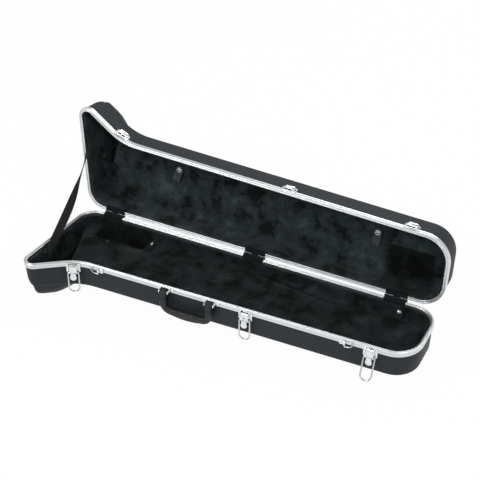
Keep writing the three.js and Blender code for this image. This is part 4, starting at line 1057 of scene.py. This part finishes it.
# --- Strap rings ---
# A D of chromed wire in an upright eye, held to the rim by a small riveted plate.
RING_SHARES = (0.1804, 0.8449)
RING_REACH, RING_HEIGHT = 0.021, 0.022
RING_WIRE = 0.0013
RING_PLATE, RING_WALL, RING_CORNER = 0.013, 0.0014, 0.0035
RING_EYE, RING_EYE_HALF = 0.0029, 0.0042
RING_RIVET_X, RING_RIVET = 0.0082, (0.0026, 0.0014)
RING_DROP = 0.0015
for number, (share, side) in enumerate(zip(RING_SHARES, (1, -1)), 1):
    place = rim_place(share * CASE_LENGTH + side * RING_REACH / 2, 2 * RING_PLATE, "base")
    place = place @ shifted(0, 0, -RING_DROP)
    middle = -RING_PLATE / 2
    inner, outer = sorted((side * 0.0005, side * RING_PLATE))
    plate = round_box(inner, -RING_PLATE, outer, 0, RING_CORNER)
    eye = -SEAT_GAP - RING_EYE
    tube = [(0, eye, middle - RING_EYE_HALF), (0, eye, middle + RING_EYE_HALF)]
    parts = [
        seated(plate, RING_WALL, place),
        wire(tube, RING_EYE - 0.0001, place),
        front_rivets(place, -SEAT_GAP - RING_WALL, (side * RING_RIVET_X,), (middle,), RING_RIVET),
    ]
    chromed(f"ring_plate_{number}_eye", parts, "base", f"ring_plate_{number}")
    pivot = place @ shifted(0, eye, middle)
    half = RING_HEIGHT / 2 - RING_WIRE
    reach = RING_REACH - 2 * RING_WIRE
    bow = [
        (-side * reach * math.sin(angle) ** 0.75, 0, half * math.cos(angle))
        for angle in np.linspace(0.12, math.pi - 0.12, 28)
    ]
    rod = [(0, 0, half * share) for share in (0, 0.8, 0.98, -0.98, -0.8)]
    ring = wire(rod[:3] + bow + rod[3:], RING_WIRE, pivot, closed=True)
    assembled(
        f"strap_ring_{number}_loop", [ring],
        wire_steel, "chrome", f"ring_{number}", f"strap_ring_{number}",
    )


# --- Hinges ---
# Black leaf hinges let into the rims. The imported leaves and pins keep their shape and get
# the black steel, and each leaf has three small screws.
SCREW, SCREW_STEP = (0.0017, 0.0003), 0.018
SCREW_INSET, SCREW_SINK = 0.0045, 0.0002


def recoated(node, material):
    for place in frame["nodes"][node].material_slots:
        place.material = material


finish = Finish("black steel", (0.010, 0.012, 0.013), 0.60, Specular_IOR_Level=0.12)
haze = finish.texture("Noise", 90, Detail=5.0)
finish.vary_roughness(haze, 0.50, 0.70)
finish.bump(haze, 0.00008, 0.4)
black_steel = finish.material
for row in frame["record"]["subparts"]:
    if row["material_slot"] == "hinge_black":
        recoated(row["node"], black_steel)
for number, centre in enumerate(HINGE_CENTRES, 1):
    for half, place in HALVES.items():
        rise, up = (-SCREW_SINK, 1) if half == "base" else (CLOSED_GAP + SCREW_SINK, -1)
        spots = [(centre + step * SCREW_STEP, -SCREW_INSET, rise) for step in (-1, 0, 1)]
        screws = rivets(spots, (0, 0, up), SCREW, black_steel, place)
        assembled(f"hinge_{number}_{half}_screws", [screws], black_steel, "hinge_black", half)


# --- Lid stay ---
# A flat black webbing that stops the lid, held by a stud at each end. It leaves the base
# facing the front and turns edge-on before it reaches the lid.
STAY_WIDTH, STAY_WALL = 0.025, 0.0018
STAY_STEPS = 72
STAY_LANES = 12
STAY_TWIST, STAY_TWIST_POWER = math.radians(50), 2.3
STAY_TURN = math.radians(26)
STAY_BOW = 0.012
STAY_FOLDS = 0.0005
END_ANGLE = math.atan2(0.037, BELL_END_WIDTH)
STAY_FROM = Vector((0.032726, -0.184, -0.017))
STAY_TO = Vector((0.028772, 0.043906, 0.168076))


def calculated(tree, operation, first, second):
    node = tree.nodes.new("ShaderNodeMath")
    node.operation = operation
    tree.links.new(first, node.inputs[0])
    if isinstance(second, float):
        node.inputs[1].default_value = second
    else:
        tree.links.new(second, node.inputs[1])
    return node.outputs["Value"]


stay_along = (STAY_TO - STAY_FROM).normalized()
base_wall = Vector((math.cos(END_ANGLE), -math.sin(END_ANGLE), 0))
lid_wall = Matrix.Rotation(-OPEN_ANGLE, 3, "X") @ base_wall
stay_points = []
for station in range(STAY_STEPS + 1):
    share = station / STAY_STEPS
    swell = math.sin(math.pi * share)
    turn = STAY_TWIST * math.sin(math.pi * share ** STAY_TWIST_POWER) ** 2 - STAY_TURN * swell
    across = base_wall.lerp(lid_wall, share).cross(stay_along).normalized()
    across = Matrix.Rotation(turn, 3, stay_along) @ across
    facing = across.cross(stay_along)
    middle = STAY_FROM.lerp(STAY_TO, share) + Vector((STAY_BOW * swell, 0, 0))
    ring = []
    for side in (-1, 1):
        for lane in range(STAY_LANES + 1):
            step = side * (1 - 2 * lane / STAY_LANES)
            thick = STAY_WALL / 2 * (1 - 0.55 * abs(step) ** 6)
            ripple = STAY_FOLDS * swell * math.sin(7 * share + 2.4 * step)
            ring.append(middle + across * (step * STAY_WIDTH / 2) + facing * (side * thick + ripple))
    stay_points += ring
lanes = 2 * (STAY_LANES + 1)
faces = ring_faces(STAY_STEPS + 1, lanes)
for end in (0, STAY_STEPS):
    for k in range(STAY_LANES):
        a, b = end * lanes + k, end * lanes + lanes - 1 - k
        faces.append((a, a + 1, b - 1, b))
stay = solid_mesh("lid_stay_webbing", np.array([tuple(p) for p in stay_points]), faces, lying, sharp=60)
finish = Finish("webbing", (0.020, 0.023, 0.024), 0.85, Specular_IOR_Level=0.2, Sheen_Weight=0.15)
warp, weft = (
    finish.texture("Wave", 420, stretch=slant, Distortion=0.4)
    for slant in ((1, 0.7, 0.9), (0.3, -0.9, 0.8))
)
weave = calculated(finish.tree, "MULTIPLY", warp, weft)
finish.bump(weave, 0.0004, 0.8)
finish.vary_color(weave, [(0.1, (0.013, 0.0155, 0.016)), (0.8, (0.030, 0.034, 0.036))])
webbing = finish.material
finished(stay, [webbing], "webbing", "base", "lid_stay")
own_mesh(stay)
for stud in ("stay_stud_base", "stay_stud_lid"):
    recoated(stud, chrome)


# --- Leather straps ---
# Short leather straps with a round end, stitched along their edges, each with a snap: two
# hang on the lid's floor and two lie at the hinge side of the base.
STRAP_WALL, STRAP_CORNER, STRAP_EDGE = 0.0022, 0.002, 0.0006
STITCH_LENGTH, STITCH_SPACING, THREAD = 0.0022, 0.0034, 0.00035
STITCH_INSET = 0.0022
SNAP_DOME, SNAP_RISE = 0.72, 0.0013
SNAP_BRIM, SNAP_BRIM_RISE = 0.0005, 0.0004
TAB_FLOOR = CLOSED_GAP + 0.064 - SEAT_GAP
STRAPS = (
    ("lid_tab_1", "tab_1", 0.020, 0.044, 0.010, 0.0068,
     opened @ shifted(0.2673 * CASE_LENGTH, -0.1394, TAB_FLOOR), math.pi, math.radians(-17.5)),
    ("lid_tab_2", "tab_2", 0.020, 0.044, 0.010, 0.0068,
     opened @ shifted(0.8025 * CASE_LENGTH, -0.1218, TAB_FLOOR), math.pi, math.radians(-6.7)),
    ("base_strap_1", "base", 0.018, 0.038, 0.0075, 0.0046,
     lying @ shifted(0.2437 * CASE_LENGTH, -0.0245, -0.0307), 0, 0),
    ("base_strap_2", "base", 0.018, 0.0235, 0.0075, 0.0046,
     lying @ shifted(0.9051 * CASE_LENGTH, -0.0155, -0.012), math.radians(50), 0),
)


def stitch_group():
    sizes = ("Spacing", "Length", "Thread")
    group, inputs, size, turn, spread = scatter_group("stitches", sizes, 8, 6, "X")
    path = group.nodes.new("GeometryNodeMeshToCurve")
    even = group.nodes.new("GeometryNodeResampleCurve")
    even.mode = "LENGTH"
    half = calculated(group, "MULTIPLY", inputs.outputs["Length"], 0.5)
    group.links.new(half, size.inputs["X"])
    tangent = group.nodes.new("GeometryNodeInputTangent")
    join(group, [
        (inputs, "Geometry", path, "Mesh"), (path, "Curve", even, "Curve"),
        (inputs, "Spacing", even, "Length"),
        (inputs, "Thread", size, "Y"), (inputs, "Thread", size, "Z"),
        (tangent, "Tangent", turn, "Vector"), (even, "Curve", spread, "Points"),
    ])
    return group


def turned(profile, place, sides=32):
    points = []
    for radius, height in profile:
        for k in range(sides):
            angle = 2 * math.pi * k / sides
            points.append((radius * math.cos(angle), radius * math.sin(angle), height))
    faces = ring_faces(len(profile), sides)
    faces.append(tuple(range(sides))[::-1])
    faces.append(tuple(range((len(profile) - 1) * sides, len(profile) * sides)))
    mesh = bpy.data.meshes.new("turning")
    mesh.from_pydata(points, [], faces)
    mesh.transform(place)
    return mesh


def bulge(radius, height, run, rise, last, count):
    return [
        (radius + run * math.cos(angle), height + rise * math.sin(angle))
        for angle in np.linspace(0, last, count)
    ]


LEATHERS = {
    "grey leather": ((0.026, 0.030, 0.032), (0.044, 0.049, 0.051), 0.25),
    "black leather": ((0.006, 0.0072, 0.0076), (0.013, 0.015, 0.0158), 0.06),
}
for tone, (dark, light, gloss) in LEATHERS.items():
    finish = Finish(tone, light, 0.55, Specular_IOR_Level=gloss)
    finish.bump(finish.texture("Voronoi", 700), 0.00025, 0.7)
    finish.vary_color(finish.texture("Noise", 70, Detail=6.0), [(0.3, dark), (0.7, light)])
finish = Finish("thread", (0.030, 0.033, 0.035), 0.7)
finish.bump(finish.texture("Wave", 900, Distortion=0.5), 0.0001, 0.5)
thread_finish = finish.material
finish = Finish("snap steel", (0.46, 0.475, 0.485), 0.14, Metallic=1.0)
finish.vary_roughness(finish.texture("Noise", 150, Detail=3.0), 0.08, 0.2)
snap_steel = finish.material
stitch_nodes = stitch_group()
for name, body, width, length, snap_drop, snap_radius, place, lean_over, spin in STRAPS:
    place = place @ Matrix.Rotation(lean_over, 4, "X") @ Matrix.Rotation(spin, 4, "Z")
    half = width / 2
    foot, side = STRAP_CORNER - length, half - STRAP_CORNER
    outline = (
        arc(0, -half, half, 0, 180, 16)
        + arc(-side, foot, STRAP_CORNER, 180, 270, 4)
        + arc(side, foot, STRAP_CORNER, 270, 360, 4)
    )
    leather = bpy.data.materials["grey leather" if name.startswith("lid") else "black leather"]
    strap = stamped([outline], STRAP_WALL, place @ shifted(0, 0, STRAP_WALL / 2), STRAP_EDGE)
    assembled(f"{name}_leather", [strap], leather, "leather", body, name)
    inner = half - STITCH_INSET
    seam = arc(0, -half, inner, 0, 180, 16)
    seam += [(-inner, -length + STITCH_INSET), (inner, -length + STITCH_INSET)]
    carrier = bpy.data.meshes.new("seam")
    count = len(seam)
    edges = [(k, (k + 1) % count) for k in range(count)]
    carrier.from_pydata([(x, y, STRAP_WALL) for x, y in seam], edges, [])
    values = {
        "Spacing": STITCH_SPACING, "Length": STITCH_LENGTH, "Thread": THREAD, "Finish": thread_finish,
    }
    sewn = repeated(stitch_nodes, carrier, values, place)
    assembled(f"{name}_stitches", [sewn], thread_finish, "leather", body)
    dome = snap_radius * SNAP_DOME
    profile = [
        (snap_radius - 0.0002, 0), (snap_radius, 0.0002),
        *bulge(snap_radius - SNAP_BRIM, 0.0007, SNAP_BRIM, SNAP_BRIM_RISE, math.pi / 2, 4),
        (dome + 0.0006, 0.0009), (dome + 0.0001, 0.0006),
        *bulge(0, 0.0008, dome, SNAP_RISE, math.pi / 2 - 0.05, 9),
    ]
    seat = place @ shifted(0, -snap_drop, STRAP_WALL + SEAT_GAP)
    snap_name = name.replace("_1", "_snap_1").replace("_2", "_snap_2")
    assembled(f"{snap_name}_cap", [turned(profile, seat)], snap_steel, "chrome", body, snap_name)


# --- Floor, light and background ---
# A pale table under soft studio light; the background is white for the camera.
floor_mesh = bpy.data.meshes.new("floor")
floor_mesh.from_pydata([(-6, -6, 0), (6, -6, 0), (6, 6, 0), (-6, 6, 0)], [], [(0, 1, 2, 3)])
floor = bpy.data.objects.new("floor", floor_mesh)
bpy.context.collection.objects.link(floor)
floor_paint = Finish("floor paint", (0.82, 0.82, 0.82), 0.9)
floor_mesh.materials.append(floor_paint.material)
world = bpy.data.worlds.new("studio")
world.use_nodes = True
bpy.context.scene.world = world


def seen_by(tree, *kinds):
    rays = tree.nodes.new("ShaderNodeLightPath")
    share = rays.outputs[kinds[0]]
    for kind in kinds[1:]:
        share = calculated(tree, "MAXIMUM", share, rays.outputs[kind])
    return share


def mixed(tree, share, first, second, output):
    mix = tree.nodes.new("ShaderNodeMixShader")
    for source, socket in zip((share, first.outputs[0], second.outputs[0]), mix.inputs):
        tree.links.new(source, socket)
    tree.links.new(mix.outputs["Shader"], tree.nodes[output].inputs["Surface"])


tree = floor_paint.tree
glow = tree.nodes.new("ShaderNodeEmission")
set_inputs(glow, Color=(1, 1, 1, 1), Strength=1)
seen = seen_by(tree, "Is Camera Ray", "Is Glossy Ray", "Is Transmission Ray")
mixed(tree, calculated(tree, "MULTIPLY", seen, 0.97), floor_paint.shader, glow, "Material Output")

tree = world.node_tree
soft = tree.nodes["Background"]
set_inputs(soft, Color=(1, 1, 1, 1), Strength=0.55)
backdrop = tree.nodes.new("ShaderNodeBackground")
set_inputs(backdrop, Color=(1, 1, 1, 1), Strength=1)
mixed(tree, seen_by(tree, "Is Camera Ray", "Is Transmission Ray"), soft, backdrop, "World Output")


def softbox(name, place, target, width, height, power):
    lamp = bpy.data.lights.new(name, "AREA")
    lamp.shape = "RECTANGLE"
    lamp.size, lamp.size_y = width, height
    lamp.energy = power
    light = bpy.data.objects.new(name, lamp)
    light.location = place
    light.rotation_euler = (Vector(target) - Vector(place)).to_track_quat("-Z", "Y").to_euler()
    bpy.context.collection.objects.link(light)


softbox("key_softbox", (-1.2, -1.6, 2.4), (0, 0, 0.1), 1.6, 1.6, 45)
softbox("fill_softbox", (2.2, -1.4, 1.8), (0, 0, 0.1), 1.6, 1.6, 20)
softbox("back_softbox", (0.4, 2.2, 2.2), (0, 0, 0.2), 2.0, 1.2, 25)

bpy.context.scene.view_settings.view_transform = "Standard"
